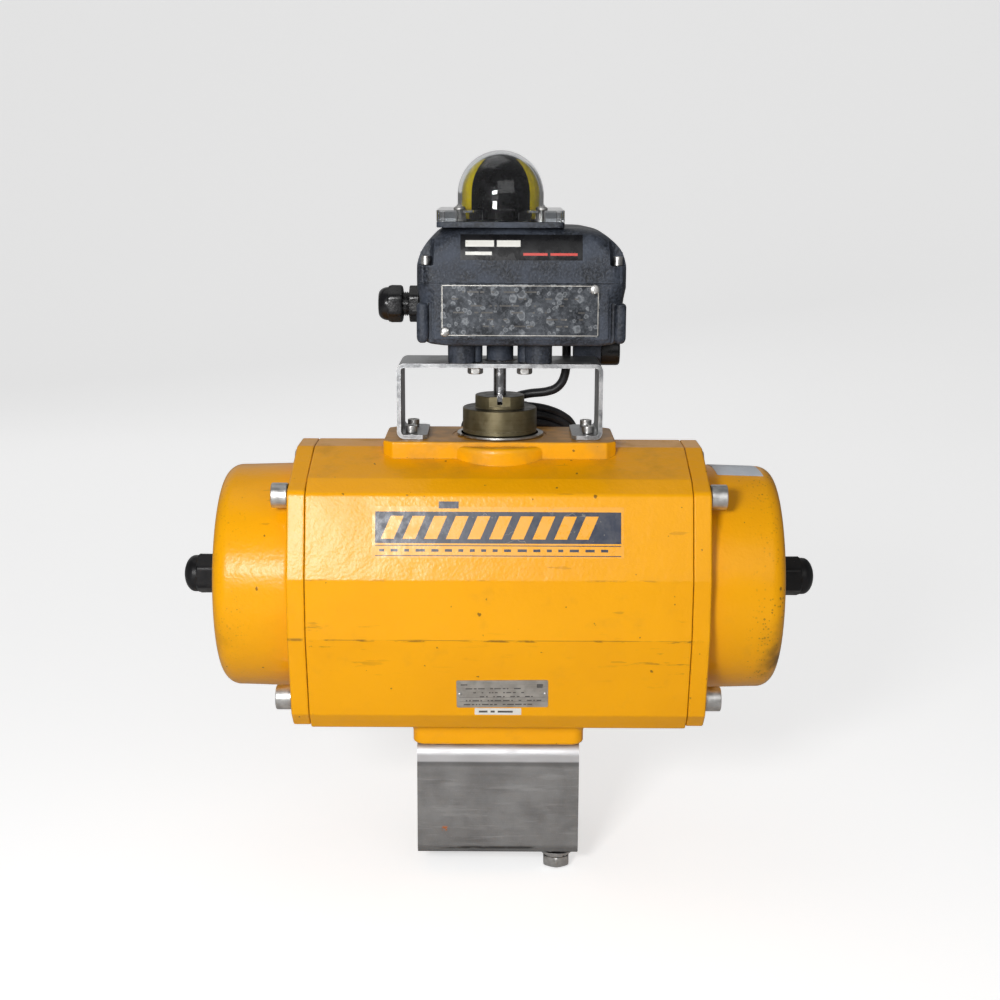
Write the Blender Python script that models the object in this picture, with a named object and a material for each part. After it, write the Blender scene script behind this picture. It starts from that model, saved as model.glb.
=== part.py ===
"""Spring-return pneumatic rack-and-pinion valve actuator with a limit-switch box and a valve bracket.

Metres, +Z up. The origin is on the drive axis at the underside of the valve bracket, where the bracket
sits on a valve's top flange. The pistons slide along X and the drive shaft turns about Z. At rest the
springs hold the pistons together; air between them drives them apart by a quarter turn of the pinion.
"""

import math

import bmesh
import bpy
from mathutils import Vector

# Driving dimensions, in metres
GAP = 0.0003            # between pieces that touch
AXIS_Z = 0.202          # height of the piston bore's axis
BORE_R = 0.075
BORE_SIDES = 32         # sides of the bore, the pistons and the caps
BODY_HALF = 0.1365      # half the length of the housing
PAD_BOTTOM = 0.088      # face that meets the valve bracket
PAD_TOP = 0.3103        # face that carries the switch bracket
FLANGE_PCD = 0.125      # ISO 5211 F12
F12 = FLANGE_PCD / 2 * math.sqrt(0.5)
SOCKET_AF = 0.027       # square drive for the valve stem
CAP_BOLT_Y = 0.069
CAP_BOLT_Z = 0.075
FLANGE_END = 0.1495     # outer face of an end cap's flange
CAP_WALL_IN = 0.1995    # inner face of an end cap's closed end
CAP_TIP = 0.2100

MODULE = 0.003
TEETH = 18
PITCH_R = MODULE * TEETH / 2
PRESSURE = math.radians(20)
BACKLASH = 0.0005
RACK_HALF_Z = 0.017
RACK_BACK = 0.046       # distance of the rack's back from the drive axis
RACK_END = 0.052        # how far the rack reaches past the drive axis at rest
PISTON_IN = 0.058
PISTON_OUT = 0.080

BRACKET_HALF = 0.060    # half the width and half the depth of the valve bracket
BRACKET_WALL = 0.005
BRACKET_TOP = PAD_BOTTOM - GAP
BRACKET_BEND = 0.009

PLATE = 0.003           # switch bracket's sheet
PLATE_HALF_X = 0.075
PLATE_HALF_Y = 0.027
PLATE_TOP = 0.366
NAMUR_X = 0.065         # half of the 130 x 30 mm hole pattern
NAMUR_Y = 0.015

BOX_LOW = (-0.059, -0.052)
BOX_HIGH = (0.089, 0.055)
BOX_FLOOR = 0.381
BOX_SPLIT = 0.426
BOX_TOP = 0.4637
BOX_WALL = 0.006
STEM_R = 0.00465
DOME_R = 0.03115
DOME_TOP = 0.5176
DOME_FLANGE = 0.045     # half the side of the square flange
INDICATOR_R = 0.0282

CABLE_R = 0.0034
CABLE_EXIT = (0.051, 0.045)
COIL_OUTER = 0.0455
COIL_INNER = 0.0315
COIL_HALF = 0.0105      # half the coil's thickness
COIL_CENTRE = Vector((0.017, 0.0849, 0.2918))
COIL_TILT = math.radians(37.6)

for old in list(bpy.data.objects):
    bpy.data.objects.remove(old, do_unlink=True)


def material(name, colour, roughness, metallic=0.0):
    """A Principled material of one colour."""
    made = bpy.data.materials.new(name)
    made.use_nodes = True
    shader = made.node_tree.nodes["Principled BSDF"]
    shader.inputs["Base Color"].default_value = (*colour, 1)
    shader.inputs["Roughness"].default_value = roughness
    shader.inputs["Metallic"].default_value = metallic
    return made


YELLOW = material("yellow_paint", (0.93, 0.40, 0.0), 0.45)
STAINLESS = material("stainless_sheet", (0.45, 0.44, 0.42), 0.45, 1.0)
FASTENER = material("plated_fastener", (0.62, 0.61, 0.58), 0.35, 1.0)
BRONZE = material("bronze_anodised", (0.30, 0.24, 0.13), 0.42, 0.8)
STEEL = material("machined_steel", (0.42, 0.42, 0.43), 0.3, 1.0)
ALUMINIUM = material("bare_aluminium", (0.70, 0.70, 0.71), 0.35, 1.0)
SPRING = material("spring_steel", (0.10, 0.16, 0.30), 0.4, 0.6)
BLACK = material("black_plastic", (0.02, 0.02, 0.022), 0.45)
BUSH = material("bearing_plastic", (0.75, 0.73, 0.66), 0.5)
RUBBER = material("black_rubber", (0.015, 0.015, 0.015), 0.7)
CASTING = material("box_casting", (0.045, 0.052, 0.065), 0.6, 0.2)
CLEAR = material("clear_cover", (0.85, 0.87, 0.88), 0.08)
INDICATOR = material("indicator_plastic", (0.03, 0.03, 0.03), 0.3)
SWITCH = material("switch_body", (0.05, 0.05, 0.06), 0.5)
TERMINAL = material("terminal_plastic", (0.55, 0.57, 0.55), 0.5)
CAM = material("cam_plastic", (0.60, 0.08, 0.06), 0.45)
SHEATH = material("cable_sheath", (0.05, 0.05, 0.055), 0.6)


def placed(x, y, along, axis):
    """The point at (x, y) across an axis and at `along` on it."""
    return {"X": (along, x, y), "Y": (x, along, y), "Z": (x, y, along)}[axis]


def finish(name, bm, look, tool=False):
    """An object from a mesh, shaded smooth with sharp edges, or a hidden tool for a Boolean."""
    bmesh.ops.recalc_face_normals(bm, faces=bm.faces)
    mesh = bpy.data.meshes.new(name)
    bm.to_mesh(mesh)
    bm.free()
    made = bpy.data.objects.new(name, mesh)
    bpy.context.scene.collection.objects.link(made)
    if tool:
        made.hide_render = True
        made.display_type = "WIRE"
        return made
    mesh.materials.append(look)
    mesh.shade_smooth()
    mesh.set_sharp_from_angle(angle=math.radians(32))
    return made


def skin(name, rings, look, loop=False, tool=False):
    """A closed skin over rings of points, one after another; a ring of one point is a pole."""
    bm = bmesh.new()
    made = [[bm.verts.new(point) for point in ring] for ring in rings]
    pairs = list(zip(made, made[1:]))
    if loop:
        pairs.append((made[-1], made[0]))
    else:
        for end in (made[0], made[-1]):
            if len(end) > 2:
                bm.faces.new(end)
    for first, second in pairs:
        count = max(len(first), len(second))
        for i in range(count):
            corners = [first[i % len(first)], first[(i + 1) % len(first)],
                       second[(i + 1) % len(second)], second[i % len(second)]]
            bm.faces.new(list(dict.fromkeys(corners)))
    return finish(name, bm, look, tool)


def turned(name, profile, look, axis="Z", at=(0, 0), count=24, loop=False, tool=False, turn=0.0):
    """A stack of rings about an axis. A profile point is (radius, along) for a round ring, or
    (half across flats, along, sides) for a square or hexagonal one; radius 0 is a pole."""
    rings = []
    for size, along, *sides in profile:
        if size == 0:
            rings.append([placed(at[0], at[1], along, axis)])
            continue
        ring = []
        for i in range(count):
            angle = math.tau * i / count
            radius = size
            if sides:
                step = math.tau / sides[0]
                radius = size / math.cos((angle + step / 2) % step - step / 2)
            x = at[0] + radius * math.cos(angle + turn)
            y = at[1] + radius * math.sin(angle + turn)
            ring.append(placed(x, y, along, axis))
        rings.append(ring)
    return skin(name, rings, look, loop, tool)


def prism(name, outline, low, high, look, axis="Z", tool=False):
    """An outline pulled along an axis."""
    rings = [[placed(x, y, along, axis) for x, y in outline] for along in (low, high)]
    return skin(name, rings, look, tool=tool)


def hole(radius, low, high, axis="Z", at=(0, 0), count=16):
    """A round cutter."""
    return turned("cutter", [(radius, low), (radius, high)], None, axis, at, count, tool=True)


def boolean(target, tools, operation="DIFFERENCE"):
    """Cuts the tools out of the target, or joins them to it."""
    for tool in tools:
        step = target.modifiers.new("boolean", "BOOLEAN")
        step.operation = operation
        step.solver = "EXACT"
        step.object = tool


def rounded(x0, y0, x1, y1, radius, steps=3):
    """A rectangle with round corners, anticlockwise."""
    points = []
    for cx, cy, start in ((x1, y1, 0), (x0, y1, 1), (x0, y0, 2), (x1, y0, 3)):
        cx += -radius if cx == x1 else radius
        cy += -radius if cy == y1 else radius
        for i in range(steps + 1):
            angle = (start + i / steps) * math.pi / 2
            points.append((cx + radius * math.cos(angle), cy + radius * math.sin(angle)))
    return points


def washer(name, inner, outer, low, high, look, at):
    """A flat ring."""
    profile = [(inner, low), (outer, low), (outer, high), (inner, high)]
    return turned(name, profile, look, at=at, count=16, loop=True)


def hex_bolt(name, across_flats, head_low, head_high, shank_r, tip, at):
    """A hexagon-head bolt along Z. The shank leaves the head's face that lies nearer the tip."""
    face, back = (head_high, head_low) if tip > head_high else (head_low, head_high)
    profile = [(0, back), (across_flats / 2, back, 6), (across_flats / 2, face, 6),
               (shank_r, face), (shank_r, tip), (0, tip)]
    return turned(name, profile, FASTENER, at=at, count=12, turn=math.pi / 2)


def socket_screw(name, head_r, face, top, shank_r, tip, axis, at):
    """A socket-head screw: head from face to top, shank to the tip, a hexagon socket in the top."""
    depth = face + (top - face) * 0.45
    key = head_r * 0.55
    profile = [(0, depth), (key, depth, 6), (key, top, 6), (head_r, top), (head_r, face),
               (shank_r, face), (shank_r, tip), (0, tip)]
    return turned(name, profile, FASTENER, axis, at, count=12)


# Housing and end caps

def body_outline(bottom, shoulder=((0.080, 0.080),)):
    """The housing's cross-section, (Y, Z): flat top, sloping shoulders, upright sides, flat bottom."""
    right = [(0.017, 0.1017), *shoulder, (0.096, 0.020), (0.096, -0.0235), (0.082, -0.084), (0.071, bottom)]
    left = [(-y, z) for y, z in reversed(right)]
    return [(y, z + AXIS_Z) for y, z in right + left]


def housing():
    """The extruded body with its bore, shaft holes, valve pad, switch pad and air ports."""
    outline = body_outline(-0.0975, ((0.0655, 0.0870), (0.0805, 0.0785)))
    body = prism("housing", outline, -BODY_HALF, BODY_HALF, YELLOW, "X")
    foot = [(0.0600, PAD_BOTTOM), (0.0620, 0.0888), (0.0628, 0.0905), (0.0628, 0.0975), (0.0638, 0.1015),
            (0.0665, 0.1045), (0.0665, 0.115)]
    foot_rings = [[(x, y, z) for x, y in rounded(-half, -half, half, half, 0.008)] for half, z in foot]
    pad = rounded(-0.085, -0.036, 0.085, 0.036, 0.007, steps=1)
    boss = [(0.0475, 0.285), (0.0475, 0.305), (0.0455, 0.307)]
    boolean(body, [skin("foot", foot_rings, None, tool=True),
                   prism("pad", pad, 0.285, PAD_TOP, None, tool=True),
                   turned("boss", boss, None, count=32, tool=True)], "UNION")
    cutters = [hole(BORE_R, -0.15, 0.15, "X", (0, AXIS_Z), BORE_SIDES),
               hole(0.029, 0.08, 0.14, count=32),
               hole(0.0242, 0.26, 0.32, count=32)]
    for x in (-1, 1):
        for y in (-1, 1):
            cutters.append(hole(0.0069, 0.08, 0.1075, at=(x * F12, y * F12)))
            cutters.append(hole(0.0029, 0.297, 0.32, at=(x * NAMUR_X, y * NAMUR_Y), count=12))
            for z in (-1, 1):
                across = (y * CAP_BOLT_Y, AXIS_Z + z * CAP_BOLT_Z)
                ends = sorted((x * 0.110, x * 0.15))
                cutters.append(hole(0.0068, *ends, "X", across, 12))
        cutters.append(hole(0.0059, 0.06, 0.11, "Y", (x * 0.012, AXIS_Z)))
    boolean(body, cutters)


def end_cap(side, name):
    """A cup with an octagonal flange, bolt holes and an inner hub for the stop screw."""
    flange = sorted((side * (BODY_HALF + GAP), side * FLANGE_END))
    cap = prism(name, body_outline(-0.0955), *flange, YELLOW, "X")
    corner, wall_r, wall_end = 0.012, 0.0834, 0.1935
    outside = [(0.0846, 0.140), (0.0846, FLANGE_END)]
    for i in range(4):
        angle = math.radians(30 * i)
        outside.append((wall_r - corner * (1 - math.cos(angle)), wall_end + corner * math.sin(angle)))
    outside += [(0.045, 0.2085), (0.016, CAP_TIP)]
    cup = turned("cup", [(r, side * x) for r, x in outside], None, "X", (0, AXIS_Z), BORE_SIDES, tool=True)
    inside = [(0, 0.13), (BORE_R + 0.0005, 0.13), (BORE_R, 0.1905), (0.070, 0.1970),
              (0.060, CAP_WALL_IN), (0.018, CAP_WALL_IN), (0.018, 0.186), (0.0085, 0.186),
              (0.0085, 0.225), (0, 0.225)]
    room = turned("room", [(r, side * x) for r, x in inside], None, "X", (0, AXIS_Z), BORE_SIDES, tool=True)
    boolean(cap, [cup], "UNION")
    boolean(cap, [room])
    for y in (-1, 1):
        for z in (-1, 1):
            ends = sorted((side * 0.13, side * 0.155))
            boolean(cap, [hole(0.0068, *ends, "X", (y * CAP_BOLT_Y, AXIS_Z + z * CAP_BOLT_Z), 12)])


def cap_bolts(side, name):
    """The four screws that hold an end cap."""
    corners = ((-1, 1), (1, 1), (-1, -1), (1, -1))
    for i, (y, z) in enumerate(corners):
        at = (y * CAP_BOLT_Y, AXIS_Z + z * CAP_BOLT_Z)
        socket_screw(f"{name}_cap_bolt_{i + 1}", 0.009, side * (FLANGE_END + GAP),
                     side * (FLANGE_END + 0.012), 0.006, side * 0.113, "X", at)


def stop_pieces(side, name):
    """The travel stop: a long screw through the cap's hub, and its domed plastic cover."""
    screw = [(0, 0.124), (0.006, 0.124), (0.008, 0.126), (0.008, 0.234), (0, 0.234)]
    turned(f"{name}_stop_screw", [(r, side * x) for r, x in screw], STEEL, "X", (0, AXIS_Z), 16)
    foot = CAP_TIP + GAP
    cover = [(0, 0.2365), (0.0088, 0.2365), (0.0088, foot), (0.0135, foot, 6), (0.0135, 0.228, 6),
             (0.01375, 0.2285), (0.01375, 0.2315), (0.0115, 0.2362), (0.0065, 0.2383), (0, 0.2388)]
    profile = [(row[0], side * row[1], *row[2:]) for row in cover]
    turned(f"{name}_stop_cover", profile, BLACK, "X", (0, AXIS_Z), 24)


# Drive train

def pinion_outline():
    """Eighteen involute teeth with a tooth centred on +X."""
    base = PITCH_R * math.cos(PRESSURE)
    root = PITCH_R - 1.25 * MODULE
    tip = PITCH_R + MODULE

    def spread(radius):
        """Involute angle at a radius."""
        flank = math.acos(base / radius)
        return math.tan(flank) - flank

    half = math.pi / (2 * TEETH) - BACKLASH / 2 / PITCH_R
    points = []
    for tooth in range(TEETH):
        centre = math.tau * tooth / TEETH
        flank = [(root, half + spread(PITCH_R))]
        for i in range(4):
            radius = base + (tip - base) * i / 3
            flank.append((radius, half + spread(PITCH_R) - spread(radius)))
        outline = [(r, -a) for r, a in flank] + [(r, a) for r, a in reversed(flank)]
        points += [(r * math.cos(centre + a), r * math.sin(centre + a)) for r, a in outline]
    return points


def rack_outline(far):
    """A toothed bar in X, Y for the piston on the +X side, from its end past the pinion to `far`.
    A tooth is centred on X = 0 and points at the pinion."""
    pitch = math.pi * MODULE
    half = pitch / 4 - BACKLASH / 2
    lean = math.tan(PRESSURE)
    tip_y = -(PITCH_R - MODULE)
    root_y = -(PITCH_R + 1.25 * MODULE)
    points = [(-RACK_END, -RACK_BACK), (-RACK_END, root_y)]
    for i in range(-5, 2):
        middle = i * pitch
        foot = half + lean * 1.25 * MODULE
        top = half - lean * MODULE
        points += [(middle - foot, root_y), (middle - top, tip_y),
                   (middle + top, tip_y), (middle + foot, root_y)]
    return points + [(far, root_y), (far, -RACK_BACK)]


def piston(side, name):
    """A piston with its rack, and the seal in its groove. The two pistons are the same part turned round."""
    def flip(points):
        return [(side * x, side * y) for x, y in points]

    seal_low, seal_high, groove_r = 0.066, 0.071, 0.0700
    piston_r = BORE_R - GAP
    disc = [(0, PISTON_IN), (piston_r, PISTON_IN), (piston_r, seal_low), (groove_r, seal_low),
            (groove_r, seal_high), (piston_r, seal_high), (piston_r, PISTON_OUT), (0, PISTON_OUT)]
    disc = [(r, side * x) for r, x in disc]
    made = turned(f"{name}_piston", disc, ALUMINIUM, "X", (0, AXIS_Z), BORE_SIDES)
    bar = prism("bar", flip(rack_outline(PISTON_IN + 0.004)), AXIS_Z - RACK_HALF_Z,
                AXIS_Z + RACK_HALF_Z, None, tool=True)
    boolean(made, [bar], "UNION")
    ring = [(groove_r + GAP, seal_low + GAP), (piston_r + 0.00015, seal_low + GAP),
            (piston_r + 0.00015, seal_high - GAP), (groove_r + GAP, seal_high - GAP)]
    ring = [(r, side * x) for r, x in ring]
    turned(f"{name}_piston_seal", ring, RUBBER, "X", (0, AXIS_Z), BORE_SIDES, loop=True)


def return_spring(side, name):
    """The coil spring between a piston and its end cap."""
    wire, radius, turns, per_turn = 0.005, 0.048, 5.5, 10
    low = PISTON_OUT + wire + 2 * GAP
    high = CAP_WALL_IN - wire - 2 * GAP
    steps = int(turns * per_turn)
    curve = bpy.data.curves.new(f"{name}_return_spring", "CURVE")
    curve.dimensions = "3D"
    curve.bevel_depth = wire
    curve.bevel_resolution = 0
    curve.use_fill_caps = True
    line = curve.splines.new("POLY")
    line.points.add(steps)
    for i, point in enumerate(line.points):
        angle = math.tau * turns * i / steps
        x = side * (low + (high - low) * i / steps)
        point.co = (x, radius * math.cos(angle), AXIS_Z + radius * math.sin(angle), 1)
    made = bpy.data.objects.new(curve.name, curve)
    bpy.context.scene.collection.objects.link(made)
    curve.materials.append(SPRING)


def drive_shaft():
    """The pinion with its journals, square drive socket and upper spigot, its bushes, coupler and clip."""
    half_drive = SOCKET_AF / 2
    foot = PAD_BOTTOM + GAP
    shaft = [(0, 0.120), (half_drive, 0.120, 4), (half_drive, foot, 4), (0.025, foot), (0.025, 0.1785),
             (0.020, 0.1785), (0.020, 0.3123), (0.010, 0.3123), (0.010, 0.324), (0, 0.324)]
    pinion = turned("drive_pinion", shaft, STEEL, count=32)
    gear = prism("gear", pinion_outline(), 0.178, 0.226, None, tool=True)
    boolean(pinion, [gear], "UNION")

    lower = [(0.0254, foot), (0.0287, foot), (0.0287, 0.126), (0.0254, 0.126)]
    turned("lower_bush", lower, BUSH, count=32, loop=True)
    upper = [(0.0204, 0.278), (0.0239, 0.278), (0.0239, 0.3098), (0.0204, 0.3098)]
    turned("upper_bush", upper, BUSH, count=32, loop=True)

    drum = [(0, 0.3245), (0.0104, 0.3245), (0.0104, 0.3125), (0.0275, 0.3125), (0.0275, 0.331),
            (0.01825, 0.331), (0.01825, 0.3403), (0, 0.3403)]
    coupler = turned("shaft_coupler", drum, BRONZE, count=32)
    slot = [(-0.002, -0.03), (0.002, -0.03), (0.002, 0.03), (-0.002, 0.03)]
    front = [(-0.02, -0.03), (0.02, -0.03), (0.02, -0.0165), (-0.02, -0.0165)]
    boolean(coupler, [prism("slot", slot, 0.3345, 0.345, None, tool=True),
                      prism("flat", front, 0.3333, 0.345, None, tool=True)])

    clip = turned("circlip", [(0.0285, 0.3106), (0.0325, 0.3106), (0.0325, 0.3122), (0.0285, 0.3122)],
                  FASTENER, count=32, loop=True)
    mouth = [(-0.04, -0.04), (-0.012, -0.04), (-0.012, 0), (-0.024, -0.008), (-0.04, -0.012)]
    boolean(clip, [prism("mouth", mouth, 0.305, 0.315, None, tool=True)])


# Valve bracket

def valve_bracket():
    """A box-section bracket, open at its left and right ends, drilled for two F12 flanges."""
    outer = rounded(-BRACKET_HALF, 0, BRACKET_HALF, BRACKET_TOP, BRACKET_BEND, 4)
    low, high = BRACKET_WALL, BRACKET_TOP - BRACKET_WALL
    inner = rounded(-BRACKET_HALF + BRACKET_WALL, low, BRACKET_HALF - BRACKET_WALL, high, 0.002, 2)
    bracket = prism("valve_bracket", outer, -BRACKET_HALF, BRACKET_HALF, STAINLESS, "X")
    cutters = [prism("inside", inner, -0.07, 0.07, None, "X", tool=True),
               hole(0.031, -0.01, 0.10, count=24)]
    for x in (-1, 1):
        for y in (-1, 1):
            cutters.append(hole(0.0067, -0.01, 0.10, at=(x * F12, y * F12), count=12))
    boolean(bracket, cutters)
    head_top = high - GAP
    for i, (x, y) in enumerate(((-1, -1), (1, -1), (-1, 1), (1, 1))):
        hex_bolt(f"bracket_bolt_{i + 1}", 0.019, head_top - 0.0075, head_top, 0.006, 0.106,
                 (x * F12, y * F12))
    at = (F12, -F12)
    washer_low = -GAP - 0.002
    spring_low = washer_low - GAP - 0.0015
    nut_high = spring_low - GAP
    nut_low = nut_high - 0.008
    hex_bolt("valve_bolt", 0.019, low + GAP, low + GAP + 0.0075, 0.006, nut_low - 0.001, at)
    washer("valve_washer", 0.0065, 0.012, washer_low, -GAP, FASTENER, at)
    washer("valve_spring_washer", 0.0065, 0.0102, spring_low, washer_low - GAP, FASTENER, at)
    nut = [(0.0065, nut_low), (0.0093, nut_low), (0.0095, nut_low + 0.001, 6), (0.0095, nut_high, 6),
           (0.0065, nut_high)]
    turned("valve_nut", nut, FASTENER, at=at, count=12, loop=True)


# Switch bracket and switch box

def accessory_bracket():
    """The folded sheet bridge that carries the switch box, and its four screws."""
    foot = PAD_TOP + GAP
    bend, inner_bend, toe = 0.0055, 0.0025, 0.053

    def corner(cx, cz, radius, start):
        turn = [math.radians(start - 45 * i) for i in range(3)]
        return [(cx + radius * math.cos(a), cz + radius * math.sin(a)) for a in turn]

    outside = PLATE_HALF_X - bend
    right = corner(outside, PLATE_TOP - bend, bend, 90) + corner(outside, foot + bend, bend, 0)
    right += [(toe, foot), (toe, foot + PLATE)]
    low_in = foot + PLATE + inner_bend
    high_in = PLATE_TOP - PLATE - inner_bend
    within = PLATE_HALF_X - PLATE - inner_bend
    quarter = [(math.sin(math.radians(a)), math.cos(math.radians(a))) for a in (0, 45, 90)]
    right += [(within + inner_bend * s, low_in - inner_bend * c) for s, c in quarter]
    right += [(within + inner_bend * c, high_in + inner_bend * s) for s, c in quarter]
    outline = right + [(-x, z) for x, z in reversed(right)]
    bracket = prism("accessory_bracket", outline, -PLATE_HALF_Y, PLATE_HALF_Y, STAINLESS, "Y")
    cutters = [hole(0.013, 0.355, 0.375, count=24)]
    for x in (-1, 1):
        for y in (-1, 1):
            cutters.append(hole(0.0029, 0.30, 0.32, at=(x * NAMUR_X, y * NAMUR_Y), count=12))
            cutters.append(hole(0.0034, 0.355, 0.375, at=(x * 0.018, y * 0.015), count=12))
            nip = [(x * 0.050, y * 0.020), (x * 0.059, y * 0.030), (x * 0.050, y * 0.030)]
            cutters.append(prism("nip", nip, 0.305, 0.320, None, tool=True))
    boolean(bracket, cutters)
    for i, (x, y) in enumerate(((-1, -1), (1, -1), (-1, 1), (1, 1))):
        face = foot + PLATE + GAP
        socket_screw(f"accessory_screw_{i + 1}", 0.0044, face, face + 0.0052, 0.0025, 0.2985, "Z",
                     (x * NAMUR_X, y * NAMUR_Y))


def box_layers(layers, look, name, tool=False, steps=3):
    """A skin over rounded rectangles: each layer is (inset from the front and back, height, corner radius),
    or that with the insets from the left and right ends."""
    rings = []
    for inset, height, radius, *ends in layers:
        left, right = ends or (inset, inset)
        sides = (BOX_LOW[0] + left, BOX_LOW[1] + inset, BOX_HIGH[0] - right, BOX_HIGH[1] - inset)
        rings.append([(x, y, height) for x, y in rounded(*sides, radius, steps)])
    return skin(name, rings, look, tool=tool)


def switch_box():
    """Base, gasket and cover of the switch housing."""
    room = BOX_WALL + 0.001
    split_low = BOX_SPLIT - GAP
    base = box_layers([(0.006, BOX_FLOOR, 0.010, 0.014, 0.014), (0.0015, 0.3835, 0.011, 0.005, 0.005),
                       (0, 0.388, 0.012), (0, split_low, 0.012)], CASTING, "switch_box_base")
    inside = box_layers([(room, BOX_FLOOR + 0.006, 0.014), (room, 0.44, 0.014)], None, "inside", tool=True)
    feet = []
    for x in (-1, 1):
        for y in (-1, 1):
            feet.append(turned("foot", [(0.010, PLATE_TOP + GAP), (0.010, 0.384)], None,
                               at=(x * 0.028, y * 0.020), count=12, tool=True))
            feet.append(turned("post", [(0.005, PLATE_TOP + GAP), (0.005, 0.384)], None,
                               at=(x * 0.018, y * 0.015), count=8, tool=True))
    feet.append(turned("neck", [(0.010, PLATE_TOP + GAP), (0.010, 0.384)], None, tool=True))
    elbow = [(0.0125, 0.066), (0.0125, 0.0765)]
    feet.append(turned("elbow", elbow, None, "X", (0.040, 0.3705), 20, tool=True))
    boolean(base, feet, "UNION")
    groove = washer_track(0.0018, 0.0042, split_low - 0.002, 0.43, "groove", tool=True)
    boolean(base, [inside, groove, hole(0.0053, 0.36, 0.40, count=24),
                   hole(0.0085, -0.07, -0.045, "X", (0, 0.407)),
                   hole(0.0062, 0.37, 0.39, at=CABLE_EXIT)])
    washer_track(0.0021, 0.0039, split_low - 0.0017, BOX_SPLIT - GAP, "cover_gasket")

    cover = box_layers([(0, BOX_SPLIT, 0.012), (0, 0.440, 0.012), (0.0010, 0.449, 0.013, 0.004, 0.004),
                        (0.0035, 0.457, 0.015, 0.010, 0.012), (0.0070, 0.461, 0.017, 0.015, 0.019),
                        (0.0120, BOX_TOP, 0.018, 0.022, 0.030)], CASTING, "switch_box_cover")
    lid = box_layers([(room, 0.42, 0.014), (room, 0.440, 0.014), (0.014, 0.457, 0.014, 0.019, 0.024)],
                     None, "lid", tool=True)
    pockets = []
    for x in BOX_LOW[0], BOX_HIGH[0]:
        for y in BOX_LOW[1], BOX_HIGH[1]:
            side = rounded(x - 0.0115, y - 0.0115, x + 0.0115, y + 0.0115, 0.002, 2)
            pockets.append(prism("pocket", side, 0.438, 0.47, None, tool=True))
    keep = []
    for x in BOX_LOW[0] + 0.010, BOX_HIGH[0] - 0.010:
        for y in BOX_LOW[1] + 0.010, BOX_HIGH[1] - 0.010:
            side = rounded(x - 0.0075, y - 0.0075, x + 0.0075, y + 0.0075, 0.002, 2)
            keep.append(prism("block", side, BOX_SPLIT, 0.447, None, tool=True))
    boolean(cover, [lid])
    boolean(cover, keep, "UNION")
    boolean(cover, pockets + [hole(0.0075, 0.455, 0.47)])


def washer_track(outer, inner, low, high, name, tool=False):
    """A rounded rectangular ring that follows the box's rim, between two insets."""
    rings = []
    for inset, height in ((outer, low), (inner, low), (inner, high), (outer, high)):
        sides = (BOX_LOW[0] + inset, BOX_LOW[1] + inset, BOX_HIGH[0] - inset, BOX_HIGH[1] - inset)
        rings.append([(x, y, height) for x, y in rounded(*sides, 0.012 - inset)])
    return skin(name, rings, RUBBER, loop=True, tool=tool)


def switch_insides():
    """The switch shaft with its tongue, the two cams, the two switches and the terminal strip."""
    stem = [(STEM_R, 0.3395), (STEM_R, 0.4715)]
    shaft = turned("switch_shaft", stem, STEEL, count=24)
    for x in (-1, 1):
        side = sorted((x * 0.0017, x * 0.010))
        face = rounded(side[0], -0.012, side[1], 0.012, 0.0005, 1)
        boolean(shaft, [prism("cheek", face, 0.335, 0.3405, None, tool=True)])
    tongue = [(-0.0017, -0.0115), (0.0017, -0.0115), (0.0017, 0.0115), (-0.0017, 0.0115)]
    boolean(shaft, [prism("tongue", tongue, 0.3352, 0.3412, None, tool=True)], "UNION")

    for name, low, start in (("lower_cam", 0.398, 0.0), ("upper_cam", 0.410, 90.0)):
        outline = []
        for i in range(36):
            angle = math.radians(10 * i)
            raised = math.cos(angle - math.radians(start + 180)) > 0.7
            radius = 0.0185 if raised else 0.0160
            outline.append((radius * math.cos(angle), radius * math.sin(angle)))
        cam = prism(name, outline, low, low + 0.008, CAM)
        boolean(cam, [hole(STEM_R + 0.0004, low - 0.01, low + 0.02, count=24)])

    for name, low in (("lower_switch", 0.3965), ("upper_switch", 0.4095)):
        outline = [(0.0245, -0.014), (0.044, -0.014), (0.044, 0.014), (0.0245, 0.014), (0.0245, 0.008),
                   (0.0192, -0.001), (0.0192, -0.003), (0.0200, -0.003), (0.0245, 0.004)]
        prism(name, outline, low, low + 0.011, SWITCH)

    block = prism("terminal_strip", rounded(0.056, -0.034, 0.074, 0.034, 0.001, 1),
                  BOX_FLOOR + 0.006 + GAP, 0.401, TERMINAL)
    wells = [hole(0.003, 0.396, 0.41, at=(0.065, -0.027 + 0.009 * i), count=8) for i in range(7)]
    boolean(block, wells)


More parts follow.
